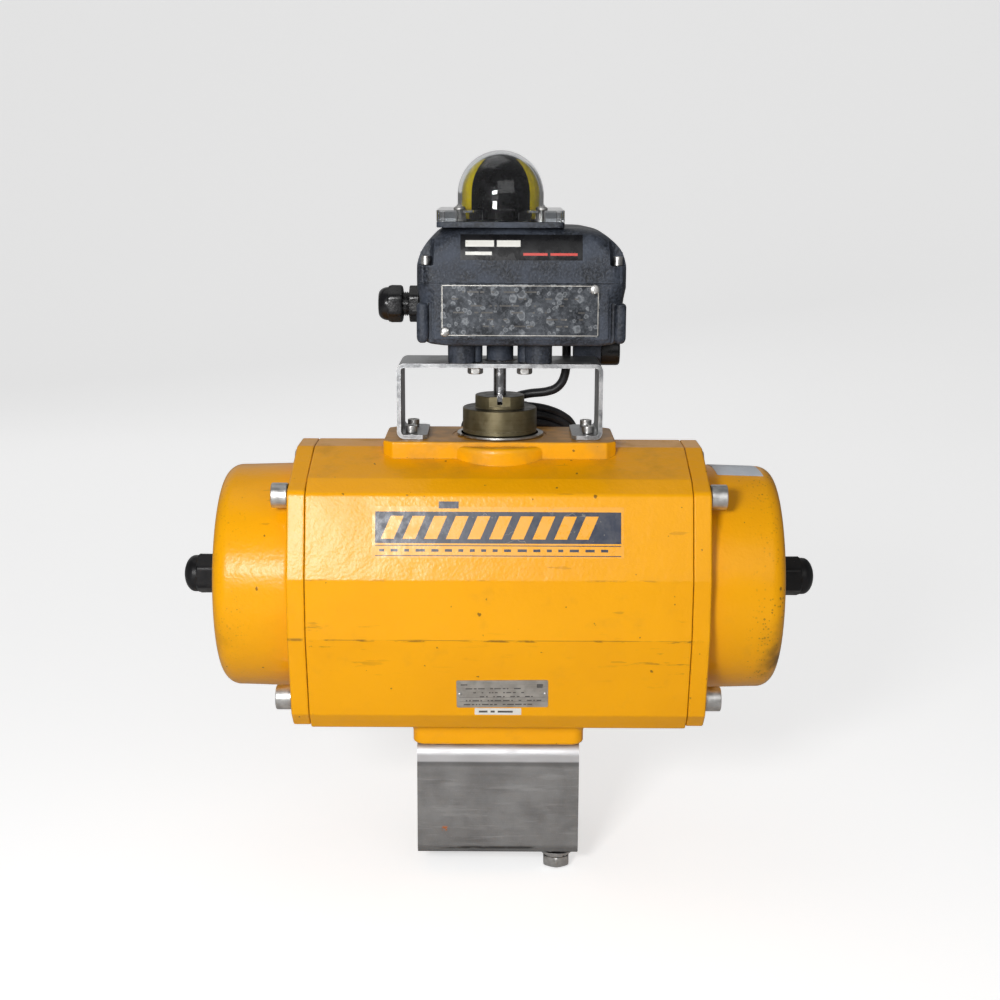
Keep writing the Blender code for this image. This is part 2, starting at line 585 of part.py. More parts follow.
def indicator():
    """The square base, the clear dome and the coloured rotor inside it."""
    low, high = BOX_TOP + GAP, 0.4680
    square = rounded(-DOME_FLANGE, -DOME_FLANGE, DOME_FLANGE, DOME_FLANGE, 0.004)
    base = prism("dome_base", square, low, high, CASTING)
    boolean(base, [hole(0.0075, 0.46, 0.48)])

    foot, flange_top, shoulder = high + GAP, 0.4760, DOME_TOP - DOME_R
    wall = 0.0022

    def arc(radius, steps):
        return [(radius * math.cos(a), shoulder + radius * math.sin(a))
                for a in (math.pi / 2 * i / steps for i in range(steps))]

    dome = turned("dome", [(DOME_R, foot + 0.001)] + arc(DOME_R, 6) + [(0, DOME_TOP)], None, tool=True)
    clear = prism("clear_dome", square, foot, flange_top, CLEAR)
    inner_r = DOME_R - wall
    inside = [(inner_r, foot - 0.01)] + arc(inner_r, 6) + [(0, shoulder + inner_r)]
    boolean(clear, [dome], "UNION")
    boolean(clear, [turned("inside", inside, None, tool=True)])

    top = shoulder + INDICATOR_R
    outside = [(INDICATOR_R, 0.4690)] + arc(INDICATOR_R, 5) + [(0, top)]
    socket = [(0, 0.4723), (STEM_R + 0.0004, 0.4723), (STEM_R + 0.0004, 0.4690)]
    turned("position_indicator", socket + outside, INDICATOR)


def box_fittings():
    """The empty cable gland, its domed nut, the blanking plug and the signal cable's grommet."""
    body = [(0.0055, -0.0480), (0.0078, -0.0480), (0.0078, BOX_LOW[0] - GAP), (0.0120, BOX_LOW[0] - GAP, 6),
            (0.0120, -0.0665, 6), (0.0088, -0.0670), (0.0088, -0.0765), (0.0055, -0.0765)]
    turned("cable_gland", body, BLACK, "X", (0, 0.407), 24, loop=True)
    nut = [(0.0092, -0.0712), (0.0124, -0.0712, 6), (0.0124, -0.0800, 6), (0.0118, -0.0830),
           (0.0095, -0.0880), (0.0072, -0.0892), (0.0055, -0.0885), (0.0055, -0.0772), (0.0092, -0.0772)]
    turned("gland_nut", nut, BLACK, "X", (0, 0.407), 24, loop=True)
    plug = [(0, 0.0768), (0.0115, 0.0768), (0.0115, 0.0895), (0.0100, 0.091), (0, 0.091)]
    turned("blanking_plug", plug, BLACK, "X", (0.040, 0.3705 - 0.0015), 20)
    grommet = [(CABLE_R + GAP, 0.3725), (0.0052, 0.3725), (0.0068, 0.3765), (0.0068, 0.3807),
               (0.0056, 0.3807), (0.0056, 0.3862), (CABLE_R + GAP, 0.3862)]
    turned("cable_grommet", grommet, RUBBER, at=CABLE_EXIT, count=16, loop=True)


# Signal cable

def coil_point(angle, radius, height):
    """A point on the tilted coil: angle in degrees from its highest point to +X, height off its middle."""
    turn = math.radians(angle)
    uphill = Vector((0, -math.cos(COIL_TILT), math.sin(COIL_TILT)))
    normal = Vector((0, math.sin(COIL_TILT), math.cos(COIL_TILT)))
    outward = math.cos(turn) * uphill + math.sin(turn) * Vector((1, 0, 0))
    return COIL_CENTRE + radius * outward + height * normal


def smooth(points, spacing):
    """Points read at an even spacing from a smooth curve through the given ones."""
    ends = [points[0] * 2 - points[1]] + points + [points[-1] * 2 - points[-2]]
    fine = []
    for a, b, c, d in zip(ends, ends[1:], ends[2:], ends[3:]):
        for i in range(24):
            t = i / 24
            fine.append(0.5 * (2 * b + (c - a) * t + (2 * a - 5 * b + 4 * c - d) * t ** 2
                               + (3 * b - a - 3 * c + d) * t ** 3))
    fine.append(points[-1])
    length = sum((b - a).length for a, b in zip(fine, fine[1:]))
    count = round(length / spacing)
    read, walked, target = [fine[0]], 0.0, length / count
    for a, b in zip(fine, fine[1:]):
        step = (b - a).length
        while walked + step >= target and len(read) < count:
            read.append(a.lerp(b, (target - walked) / step))
            target += length / count
        walked += step
    return read + [fine[-1]]


def signal_cable():
    """The switch box's cable: down from its grommet, to the left behind the coupler, onto a tied coil."""
    x, y = CABLE_EXIT
    route = [Vector(p) for p in ((x, y, 0.3722), (x, y, 0.362), (0.0505, y, 0.3525), (0.048, 0.0452, 0.344),
                                 (0.042, 0.0457, 0.3380), (0.033, 0.0468, 0.3355), (0.022, 0.0485, 0.3340),
                                 (0.011, 0.0500, 0.3305))]
    side = COIL_OUTER + CABLE_R + 2 * GAP
    route += [coil_point(angle, side, 0.0035) for angle in (-18, -30, -42)]
    curve = bpy.data.curves.new("signal_cable", "CURVE")
    curve.dimensions = "3D"
    curve.bevel_depth = CABLE_R
    curve.bevel_resolution = 2
    curve.use_fill_caps = True
    points = smooth(route, 0.006)
    line = curve.splines.new("POLY")
    line.points.add(len(points) - 1)
    for point, place in zip(line.points, points):
        point.co = (*place, 1)
    curve.materials.append(SHEATH)
    bpy.context.scene.collection.objects.link(bpy.data.objects.new("signal_cable", curve))

    ring = [(COIL_INNER, -COIL_HALF), (COIL_OUTER, -COIL_HALF),
            (COIL_OUTER, COIL_HALF), (COIL_INNER, COIL_HALF)]
    coil = turned("cable_coil", ring, SHEATH, count=32, loop=True)
    coil.location = COIL_CENTRE
    coil.rotation_euler = (-COIL_TILT, 0, 0)

    half = 0.022
    body = [(0, -half), (0.0045, -half), (0.0070, -half + 0.014), (0.0070, half - 0.004),
            (0.0055, half - 0.002), (0.0055, half), (0, half)]
    plug = turned("cable_connector", body, BLACK, "X", count=16)
    plug.location = coil_point(180, (COIL_INNER + COIL_OUTER) / 2, COIL_HALF + 0.0070 + GAP)


housing()
for direction, hand in ((-1, "left"), (1, "right")):
    end_cap(direction, f"{hand}_end_cap")
    cap_bolts(direction, hand)
    stop_pieces(direction, hand)
    piston(direction, hand)
    return_spring(direction, hand)
drive_shaft()
valve_bracket()
accessory_bracket()
switch_box()
switch_insides()
indicator()
box_fittings()
signal_cable()
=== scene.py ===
import math
import random

import bmesh
import bpy
from mathutils import Matrix, Vector


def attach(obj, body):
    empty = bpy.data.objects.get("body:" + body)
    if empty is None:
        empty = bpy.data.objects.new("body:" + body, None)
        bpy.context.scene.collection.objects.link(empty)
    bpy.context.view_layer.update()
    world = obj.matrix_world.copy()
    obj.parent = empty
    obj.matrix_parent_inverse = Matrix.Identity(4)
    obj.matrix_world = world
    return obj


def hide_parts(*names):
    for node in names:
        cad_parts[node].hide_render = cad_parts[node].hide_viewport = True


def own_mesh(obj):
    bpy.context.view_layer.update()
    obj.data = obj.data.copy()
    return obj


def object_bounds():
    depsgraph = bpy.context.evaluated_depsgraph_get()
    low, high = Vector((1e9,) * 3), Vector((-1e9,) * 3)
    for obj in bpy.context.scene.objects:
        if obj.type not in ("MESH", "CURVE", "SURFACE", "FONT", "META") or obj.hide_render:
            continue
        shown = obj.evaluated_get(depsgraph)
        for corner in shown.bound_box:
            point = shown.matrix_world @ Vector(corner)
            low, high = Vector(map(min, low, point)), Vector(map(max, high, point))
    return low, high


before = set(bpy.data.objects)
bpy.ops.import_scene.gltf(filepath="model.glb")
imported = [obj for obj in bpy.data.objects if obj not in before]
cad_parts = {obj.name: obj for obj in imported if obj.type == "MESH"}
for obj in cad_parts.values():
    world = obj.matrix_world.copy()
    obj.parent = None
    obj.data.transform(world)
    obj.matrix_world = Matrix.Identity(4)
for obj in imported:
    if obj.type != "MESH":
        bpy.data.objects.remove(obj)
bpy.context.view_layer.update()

axisHeight = 0.202      # the piston bore's axis
mm = 0.001
fourCorners = [(-1, -1), (-1, 1), (1, -1), (1, 1)]
numberedCorners = [(-1, -1), (1, -1), (-1, 1), (1, 1)]


# Camera

camera = {"place": (0.0005, -1.1847, 0.5074), "tiltDown": 11.8, "roll": 0.265, "lens": 57.8}


def makeCamera(settings):
    data = bpy.data.cameras.new("camera")
    data.lens = settings["lens"]
    data.clip_start = 0.02
    made = bpy.data.objects.new("camera", data)
    bpy.context.scene.collection.objects.link(made)
    tilt = Matrix.Rotation(math.radians(90 - settings["tiltDown"]), 4, "X")
    roll = Matrix.Rotation(math.radians(settings["roll"]), 4, "Z")
    made.matrix_world = Matrix.Translation(settings["place"]) @ tilt @ roll
    bpy.context.scene.camera = made


makeCamera(camera)


# Mesh tools: rings of points are joined into skins

def place(axis, along, a, b):
    return {"X": (along, a, b), "Y": (a, along, b), "Z": (a, b, along)}[axis]


def bridge(bm, rings, loop=False):
    # faces between neighbouring rings, and a face over each open end
    pairs = list(zip(rings, rings[1:]))
    if loop:
        pairs.append((rings[-1], rings[0]))
    else:
        for end in (rings[0], rings[-1]):
            if len(end) > 2:
                bm.faces.new(end)
    for first, second in pairs:
        count = max(len(first), len(second))
        for i in range(count):
            corners = [first[i % len(first)], first[(i + 1) % len(first)],
                       second[(i + 1) % len(second)], second[i % len(second)]]
            bm.faces.new(list(dict.fromkeys(corners)))


def loft(rings, loop=False, bm=None):
    # the tools start a new mesh unless they are given one
    bm = bm or bmesh.new()
    bridge(bm, [[bm.verts.new(point) for point in ring] for ring in rings], loop)
    return bm


def lathe(rows, axis="Z", centre=(0, 0), segments=64, loop=False, turn=0.0, shape=None, bm=None):
    # a row is (radius, along) or (half across flats, along, sides[, largest radius]); radius 0 closes an end
    rings = []
    for size, along, *more in rows:
        if size == 0:
            rings.append([place(axis, along, *centre)])
            continue
        ring = []
        for i in range(segments):
            angle = math.tau * i / segments
            radius = size
            if more:
                step = math.tau / more[0]
                radius = size / math.cos((angle + step / 2) % step - step / 2)
                radius = min([radius] + more[1:])
            if shape:
                radius = shape(radius, angle)
            a = centre[0] + radius * math.cos(angle + turn)
            b = centre[1] + radius * math.sin(angle + turn)
            ring.append(place(axis, along, a, b))
        rings.append(ring)
    return loft(rings, loop, bm)


def prism(outline, axis, low, high):
    return loft([[place(axis, along, a, b) for a, b in outline] for along in (low, high)])


def filleted(points, radii, degrees=11.0):
    # an outline with round corners; radii is one number or one for each corner
    made = []
    for i, corner in enumerate(points):
        before, here, after = Vector(points[i - 1]), Vector(corner), Vector(points[(i + 1) % len(points)])
        radius = radii if isinstance(radii, (int, float)) else radii[i]
        u, v = (before - here).normalized(), (after - here).normalized()
        half = u.angle(v) / 2
        if radius == 0 or math.pi - 2 * half < 0.01:
            made.append(tuple(here))
            continue
        centre = here + (u + v).normalized() * radius / math.sin(half)
        start, end = here + u * radius / math.tan(half) - centre, here + v * radius / math.tan(half) - centre
        bend = math.pi - 2 * half
        sense = 1 if start.x * end.y - start.y * end.x > 0 else -1
        steps = max(2, math.ceil(math.degrees(bend) / degrees))
        first = math.atan2(start.y, start.x)
        for k in range(steps + 1):
            angle = first + sense * bend * k / steps
            made.append((centre.x + radius * math.cos(angle), centre.y + radius * math.sin(angle)))
    return made


def rectangle(x0, y0, x1, y1, radius=0.0, degrees=11.0):
    corners = [(x1, y1), (x0, y1), (x0, y0), (x1, y0)]
    radius = min(radius, 0.49 * abs(x1 - x0), 0.49 * abs(y1 - y0))
    return filleted(corners, radius, degrees) if radius else corners


def block(low, high, radius=0.0, axis="Z"):
    # a box with round corners about one axis
    i = "XYZ".index(axis)
    a, b = [k for k in range(3) if k != i]
    return prism(rectangle(low[a], low[b], high[a], high[b], radius), axis, low[i], high[i])


def asObject(name, bm):
    bmesh.ops.recalc_face_normals(bm, faces=bm.faces)
    mesh = bpy.data.meshes.new(name)
    bm.to_mesh(mesh)
    bm.free()
    made = bpy.data.objects.new(name, mesh)
    bpy.context.scene.collection.objects.link(made)
    return made


def combined(bm, steps):
    # the mesh after each (tool, operation) of steps
    base = asObject("base", bm)
    tools = []
    for tool, operation in steps:
        tools.append(asObject("tool", tool))
        step = base.modifiers.new("step", "BOOLEAN")
        step.operation, step.solver, step.object = operation, "EXACT", tools[-1]
    graph = bpy.context.evaluated_depsgraph_get()
    mesh = bpy.data.meshes.new_from_object(base.evaluated_get(graph))
    made = bmesh.new()
    made.from_mesh(mesh)
    bmesh.ops.remove_doubles(made, verts=made.verts, dist=1e-6)
    for old in (base, *tools):
        data = old.data
        bpy.data.objects.remove(old)
        bpy.data.meshes.remove(data)
    bpy.data.meshes.remove(mesh)
    return made


def cut(bm, *tools):
    return combined(bm, [(tool, "DIFFERENCE") for tool in tools])


def joined(bm, *tools):
    return combined(bm, [(tool, "UNION") for tool in tools])


def drill(radius, low, high, axis="Z", centre=(0, 0), segments=32):
    return lathe([(radius, low), (radius, high)], axis, centre, segments)


def piece(name, bm, finish, body="actuator", nodes=(), sharp=30.0, bevel=None):
    # a finished piece: its mesh, looks, edges, the CAD body it rides on and the nodes it stands for
    made = asObject(name, bm)
    finish = [finish] if isinstance(finish, str) else finish
    for look in finish:
        made.data.materials.append(looks[look])
    made.data.shade_smooth()
    if bevel:
        step = made.modifiers.new("bevel", "BEVEL")
        step.width, step.segments = bevel[0], bevel[1]
        step.limit_method, step.angle_limit = "ANGLE", math.radians(bevel[2] if len(bevel) > 2 else 40)
        step.miter_outer = "MITER_ARC"
        graph = bpy.context.evaluated_depsgraph_get()
        mesh = bpy.data.meshes.new_from_object(made.evaluated_get(graph))
        made.modifiers.clear()
        made.data = mesh
    made.data.set_sharp_from_angle(angle=math.radians(sharp))
    weight = made.modifiers.new("weighted normals", "WEIGHTED_NORMAL")
    weight.keep_sharp = True
    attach(made, body)
    if nodes:
        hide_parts(*([nodes] if isinstance(nodes, str) else nodes))
    return made


# Shader tools

def node(tree, kind, inputs=None, **settings):
    made = tree.nodes.new("ShaderNode" + kind)
    for key, value in settings.items():
        setattr(made, key, value)
    for key, value in (inputs or {}).items():
        feed(tree, made.inputs[key], value)
    return made


def feed(tree, socket, value):
    if isinstance(value, bpy.types.NodeSocket):
        tree.links.new(value, socket)
    else:
        socket.default_value = value


def calc(tree, operation, *values, clamp=False):
    made = node(tree, "Math", operation=operation, use_clamp=clamp)
    for socket, value in zip(made.inputs, values):
        feed(tree, socket, value)
    return made.outputs[0]


def times(tree, *values):
    made = values[0]
    for value in values[1:]:
        made = calc(tree, "MULTIPLY", made, value)
    return made


def inverse(tree, value):
    return calc(tree, "SUBTRACT", 1.0, value)


def vectorCalc(tree, operation, *values):
    made = node(tree, "VectorMath", operation=operation)
    for socket, value in zip(made.inputs, values):
        feed(tree, socket, value)
    return made.outputs["Value" if operation in ("DOT_PRODUCT", "LENGTH", "DISTANCE") else "Vector"]


def ramp(tree, value, low, high, toLow=0.0, toHigh=1.0):
    made = node(tree, "MapRange", {"Value": value, "From Min": low, "From Max": high, "To Min": toLow,
                                   "To Max": toHigh}, interpolation_type="SMOOTHSTEP")
    return made.outputs["Result"]


def mix(tree, share, first, second, blend="MIX"):
    made = node(tree, "Mix", data_type="RGBA", blend_type=blend)
    for socket, value in ((made.inputs[0], share), (made.inputs[6], first), (made.inputs[7], second)):
        feed(tree, socket, (*value, 1) if isinstance(value, tuple) and len(value) == 3 else value)
    return made.outputs[2]


def over(tree, colour, tone, mask, share):
    # tone laid over colour where mask is, at most by share
    return mix(tree, times(tree, mask, share), colour, tone)


def makeGroup(name, inputs, outputs, build):
    tree = bpy.data.node_groups.new(name, "ShaderNodeTree")
    for label, kind, value in inputs:
        socket = tree.interface.new_socket(label, in_out="INPUT", socket_type="NodeSocket" + kind)
        socket.default_value = value
    for label in outputs:
        tree.interface.new_socket(label, in_out="OUTPUT", socket_type="NodeSocketFloat")
    source, sink = tree.nodes.new("NodeGroupInput"), tree.nodes.new("NodeGroupOutput")
    for label, value in build(tree, source.outputs).items():
        tree.links.new(value, sink.inputs[label])
    return tree


def position(tree):
    return node(tree, "TexCoord").outputs["Object"]


def placed(tree, given):
    # the object's own coordinates, stretched and moved
    return vectorCalc(tree, "ADD", vectorCalc(tree, "MULTIPLY", position(tree), given["Stretch"]),
                      given["Offset"])


def buildMottle(tree, given):
    # soft uneven patches
    moved = placed(tree, given)
    noise = node(tree, "TexNoise", {"Vector": moved, "Scale": given["Scale"], "Detail": given["Detail"],
                                    "Roughness": 0.6})
    return {"Value": ramp(tree, noise.outputs[0], given["Low"], given["High"])}


def buildSpecks(tree, given):
    # small ragged spots, of which Share are kept
    moved = placed(tree, given)
    ragged = node(tree, "TexNoise", {"Vector": moved, "Scale": times(tree, given["Scale"], 4.0),
                                     "Detail": 3.0})
    cells = node(tree, "TexVoronoi", {"Vector": moved, "Scale": given["Scale"]})
    parts = node(tree, "SeparateColor", {"Color": cells.outputs["Color"]})
    size = times(tree, given["Size"], calc(tree, "ADD", 0.4, parts.outputs[1]))
    far = calc(tree, "ADD", cells.outputs["Distance"],
               times(tree, calc(tree, "SUBTRACT", ragged.outputs[0], 0.5), 0.5))
    near = inverse(tree, ramp(tree, calc(tree, "DIVIDE", far, size), 0.6, 1.0))
    kept = calc(tree, "LESS_THAN", parts.outputs[0], given["Share"])
    return {"Mask": times(tree, near, kept)}


def buildScratches(tree, given):
    # thin broken lines along the direction in which Stretch is smallest
    moved = placed(tree, given)
    lines = node(tree, "TexNoise", {"Vector": moved, "Scale": given["Scale"], "Detail": 2.0})
    away = calc(tree, "ABSOLUTE", calc(tree, "SUBTRACT", lines.outputs[0], 0.5))
    thin = inverse(tree, ramp(tree, calc(tree, "DIVIDE", away, given["Width"]), 0.3, 1.0))
    patches = node(tree, "TexNoise", {"Vector": moved, "Scale": times(tree, given["Scale"], 0.37),
                                      "Detail": 2.0})
    shown = ramp(tree, patches.outputs[0], inverse(tree, given["Share"]),
                 calc(tree, "SUBTRACT", 1.08, given["Share"]))
    return {"Mask": times(tree, thin, shown)}


def buildEdgeWear(tree, given):
    # convex and concave edges, broken up by noise
    soft = node(tree, "Bevel", {"Radius": given["Radius"]}, samples=4)
    true = node(tree, "NewGeometry").outputs["Normal"]
    turned = inverse(tree, vectorCalc(tree, "DOT_PRODUCT", soft.outputs[0], true))
    noise = node(tree, "TexNoise", {"Vector": position(tree), "Scale": given["Scale"], "Detail": 4.0})
    edge = ramp(tree, turned, 0.01, 0.12)
    return {"Mask": times(tree, edge, ramp(tree, noise.outputs[0], given["Low"], given["High"])),
            "Edge": edge}


def buildTurning(tree, given):
    # fine rings about an axis, as a lathe leaves
    away = vectorCalc(tree, "SUBTRACT", position(tree), given["Centre"])
    along = vectorCalc(tree, "DOT_PRODUCT", away, given["Axis"])
    scaled = node(tree, "VectorMath", {0: given["Axis"]}, operation="SCALE")
    tree.links.new(along, scaled.inputs["Scale"])
    radius = vectorCalc(tree, "LENGTH", vectorCalc(tree, "SUBTRACT", away, scaled.outputs[0]))
    where = node(tree, "CombineXYZ", {0: times(tree, along, given["Scale"]),
                                      1: times(tree, radius, given["Scale"])})
    rings = node(tree, "TexNoise", {"Vector": where.outputs[0], "Scale": 1.0, "Detail": 3.0})
    return {"Height": rings.outputs[0]}


def buildOcclusionShade(tree, given):
    # painted shade: darker in corners and gaps, found by ambient occlusion and broken up by noise
    shade = node(tree, "AmbientOcclusion", {"Distance": given["Distance"]}, samples=4)
    noise = node(tree, "TexNoise", {"Vector": position(tree), "Scale": given["Scale"], "Detail": 4.0})
    deep = inverse(tree, shade.outputs["AO"])
    worn = times(tree, deep, ramp(tree, noise.outputs[0], 0.3, 0.6, 0.5, 1.0))
    return {"Mask": ramp(tree, worn, given["Low"], given["High"])}


placing = [("Stretch", "Vector", (1, 1, 1)), ("Offset", "Vector", (0, 0, 0))]
groups = {
    "mottle": makeGroup("mottle", [("Scale", "Float", 20.0), ("Detail", "Float", 4.0), ("Low", "Float", 0.35),
                                   ("High", "Float", 0.65)] + placing, ["Value"], buildMottle),
    "specks": makeGroup("specks", [("Scale", "Float", 100.0), ("Size", "Float", 0.3),
                                   ("Share", "Float", 0.2)] + placing, ["Mask"], buildSpecks),
    "scratches": makeGroup("scratches", [("Scale", "Float", 100.0), ("Width", "Float", 0.01),
                                         ("Share", "Float", 0.5)] + placing, ["Mask"], buildScratches),
    "edgeWear": makeGroup("edge wear", [("Radius", "Float", 0.001), ("Scale", "Float", 200.0),
                                        ("Low", "Float", 0.45), ("High", "Float", 0.65)],
                          ["Mask", "Edge"], buildEdgeWear),
    "turning": makeGroup("turning marks", [("Axis", "Vector", (0, 0, 1)), ("Centre", "Vector", (0, 0, 0)),
                                           ("Scale", "Float", 2000.0)], ["Height"], buildTurning),
    "creviceShade": makeGroup("occlusion shade", [("Distance", "Float", 0.008), ("Scale", "Float", 120.0),
                                          ("Low", "Float", 0.25), ("High", "Float", 0.75)],
                         ["Mask"], buildOcclusionShade),
}


def effect(tree, kind, output=0, **inputs):
    made = tree.nodes.new("ShaderNodeGroup")
    made.node_tree = groups[kind]
    for key, value in inputs.items():
        feed(tree, made.inputs[key[0].upper() + key[1:]], value)
    return made.outputs[output]


def mottle(tree, scale, detail=4.0, low=0.35, high=0.65, **more):
    return effect(tree, "mottle", scale=scale, detail=detail, low=low, high=high, **more)


def specks(tree, scale, size, share, **more):
    return effect(tree, "specks", scale=scale, size=size, share=share, **more)


def material(name, build, **plain):
    # build returns the sockets that vary over the surface; plain values go straight on the shader
    made = bpy.data.materials.new(name)
    made.use_nodes = True
    tree = made.node_tree
    shader = tree.nodes["Principled BSDF"]
    for key, value in plain.items():
        shader.inputs[key.replace("_", " ")].default_value = value
    for key, value in build(tree).items():
        feed(tree, shader.inputs[key], value)
    return made


def bumped(tree, *layers, base=None):
    # a stack of Bump nodes, each (height, distance)
    normal = base
    for height, distance in layers:
        step = node(tree, "Bump", {"Height": height, "Distance": distance, "Strength": 1.0})
        if normal:
            tree.links.new(normal, step.inputs["Normal"])
        normal = step.outputs[0]
    return normal


def softEdges(tree, radius):
    return node(tree, "Bevel", {"Radius": radius}, samples=4).outputs[0]


def within(tree, value, middle, half, soft):
    # 1 where value is within half of middle
    away = calc(tree, "ABSOLUTE", calc(tree, "SUBTRACT", value, middle))
    return inverse(tree, ramp(tree, away, half, half + soft))


def axes(tree):
    return node(tree, "SeparateXYZ", {0: position(tree)}).outputs


print("tools ready")


# Materials

# the dark brown tone used for dust also serves as painted shade in corners and gaps and on the roof
paint = {"colour": (0.92, 0.402, 0.0), "deep": (0.78, 0.315, 0.0), "dirt": (0.085, 0.050, 0.012),
         "grimeAndShade": (0.33, 0.17, 0.035), "peel": 0.00016, "peelScale": 420.0, "roughness": (0.30, 0.44)}


def paintBase(tree, extra):
    # the paint with specks, painted shade in its corners and gaps, and rubbed edges; extra adds the marks of one
    # piece
    x, _, z = axes(tree)
    patches = mottle(tree, 14.0, 3.0, 0.38, 0.70)
    colour = mix(tree, times(tree, patches, 0.22), paint["colour"], paint["deep"])
    dust = mottle(tree, 60.0, 6.0, 0.55, 0.80, offset=(3.1, 0.4, 7.7))
    colour = over(tree, colour, paint["grimeAndShade"], dust, 0.10)
    dots = specks(tree, 75.0, 0.085, 0.30)
    crumbs = specks(tree, 210.0, 0.14, 0.05, offset=(0.31, 0.17, 0.07))
    spots = calc(tree, "MAXIMUM", times(tree, dots, 0.75), times(tree, crumbs, 0.7))
    scuffs = specks(tree, 150.0, 0.16, 0.10, stretch=(0.16, 1, 1), offset=(0.5, 0.2, 0.9))
    spots = calc(tree, "MAXIMUM", spots, times(tree, scuffs, 0.22))
    # painted shade: the paint is darkened in its corners and gaps, laid on two lines below
    creviceShade = effect(tree, "creviceShade", distance=0.007)
    rubbed = effect(tree, "edgeWear", radius=0.0008, scale=260.0, low=0.50, high=0.62)
    colour = over(tree, colour, paint["grimeAndShade"], creviceShade, 0.55)
    colour = over(tree, colour, paint["dirt"], rubbed, 0.45)
    colour = mix(tree, spots, colour, paint["dirt"])
    dull = times(tree, patches, 0.4)
    for mask, tone, strength in extra(tree, x, z):
        colour = over(tree, colour, tone, mask, strength)
        dull = calc(tree, "MAXIMUM", dull, mask)
    peel = node(tree, "TexNoise", {"Vector": position(tree), "Scale": paint["peelScale"], "Detail": 1.5,
                                   "Roughness": 0.4}).outputs[0]
    wave = node(tree, "TexNoise", {"Vector": position(tree), "Scale": 70.0, "Detail": 1.0}).outputs[0]
    low, high = paint["roughness"]
    return {"Base Color": colour, "Roughness": ramp(tree, dull, 0.0, 1.0, low, high),
            "Normal": bumped(tree, (wave, 0.0004), (peel, paint["peel"]), (spots, 0.00006),
                             base=softEdges(tree, 0.0012))}


def housingMarks(tree, x, z):
    rel = calc(tree, "SUBTRACT", z, axisHeight)
    ragged = mottle(tree, 95.0, 6.0, 0.50, 0.60, stretch=(0.35, 1, 1))
    thin = mottle(tree, 30.0, 4.0, 0.35, 0.60, offset=(2, 2, 0))
    lower = calc(tree, "MAXIMUM", times(tree, within(tree, rel, -0.0240, 0.0003, 0.0011), ragged),
                 times(tree, within(tree, rel, -0.0236, 0.0001, 0.0004), thin, 0.7))
    upper = times(tree, within(tree, rel, 0.0200, 0.0002, 0.0009), ragged)
    streaks = mottle(tree, 210.0, 5.0, 0.60, 0.68, stretch=(0.16, 1, 1),
                     offset=(1.3, 0, 0.2))
    side = ramp(tree, calc(tree, "ABSOLUTE", x), 0.07, 0.135, 0.12, 1.0)
    smears = times(tree, streaks, side, within(tree, rel, -0.034, 0.012, 0.022))
    # painted shade: the pad's top face is made brown and dark, broken up by mottle
    top = ramp(tree, z, 0.3095, 0.3101)
    padTopMottle = mottle(tree, 40.0, 6.0, 0.30, 0.62, offset=(9, 2, 1))
    # painted shade: the roof above the shoulders is made darker, broken up by mottle
    roof = times(tree, ramp(tree, rel, 0.082, 0.094), mottle(tree, 30.0, low=0.45, high=0.7))
    return [(lower, paint["dirt"], 0.70), (upper, paint["dirt"], 0.35), (smears, paint["dirt"], 0.55),
            (times(tree, top, ramp(tree, padTopMottle, 0, 1, 0.55, 1.0)), (0.36, 0.20, 0.075), 0.80),
            (roof, paint["grimeAndShade"], 0.30)]


def capMarks(tree, x, z):
    rel = calc(tree, "SUBTRACT", z, axisHeight)
    far = calc(tree, "ABSOLUTE", x)
    rim = specks(tree, 520.0, 0.40, 0.42, offset=(0.2, 0.9, 0.4))
    nearEnd = ramp(tree, far, 0.182, 0.202)
    heavy = mottle(tree, 26.0, 7.0, 0.44, 0.66, offset=(1.4, 0, 2.2))
    low = times(tree, nearEnd, heavy, within(tree, rel, -0.055, 0.014, 0.035),
                ramp(tree, x, 0.0, 0.05, 0.35, 1.0))
    dotted = times(tree, rim, ramp(tree, far, 0.172, 0.192), ramp(tree, heavy, 0, 1, 0.30, 1.0),
                   ramp(tree, x, 0.0, 0.05, 0.35, 1.0))
    rubbed = times(tree, within(tree, rel, -0.0235, 0.0003, 0.0014), ramp(tree, far, 0.152, 0.150),
                   mottle(tree, 90.0, 5.0, 0.45, 0.58))
    return [(low, paint["dirt"], 0.75), (dotted, paint["dirt"], 0.60), (rubbed, paint["dirt"], 0.60)]


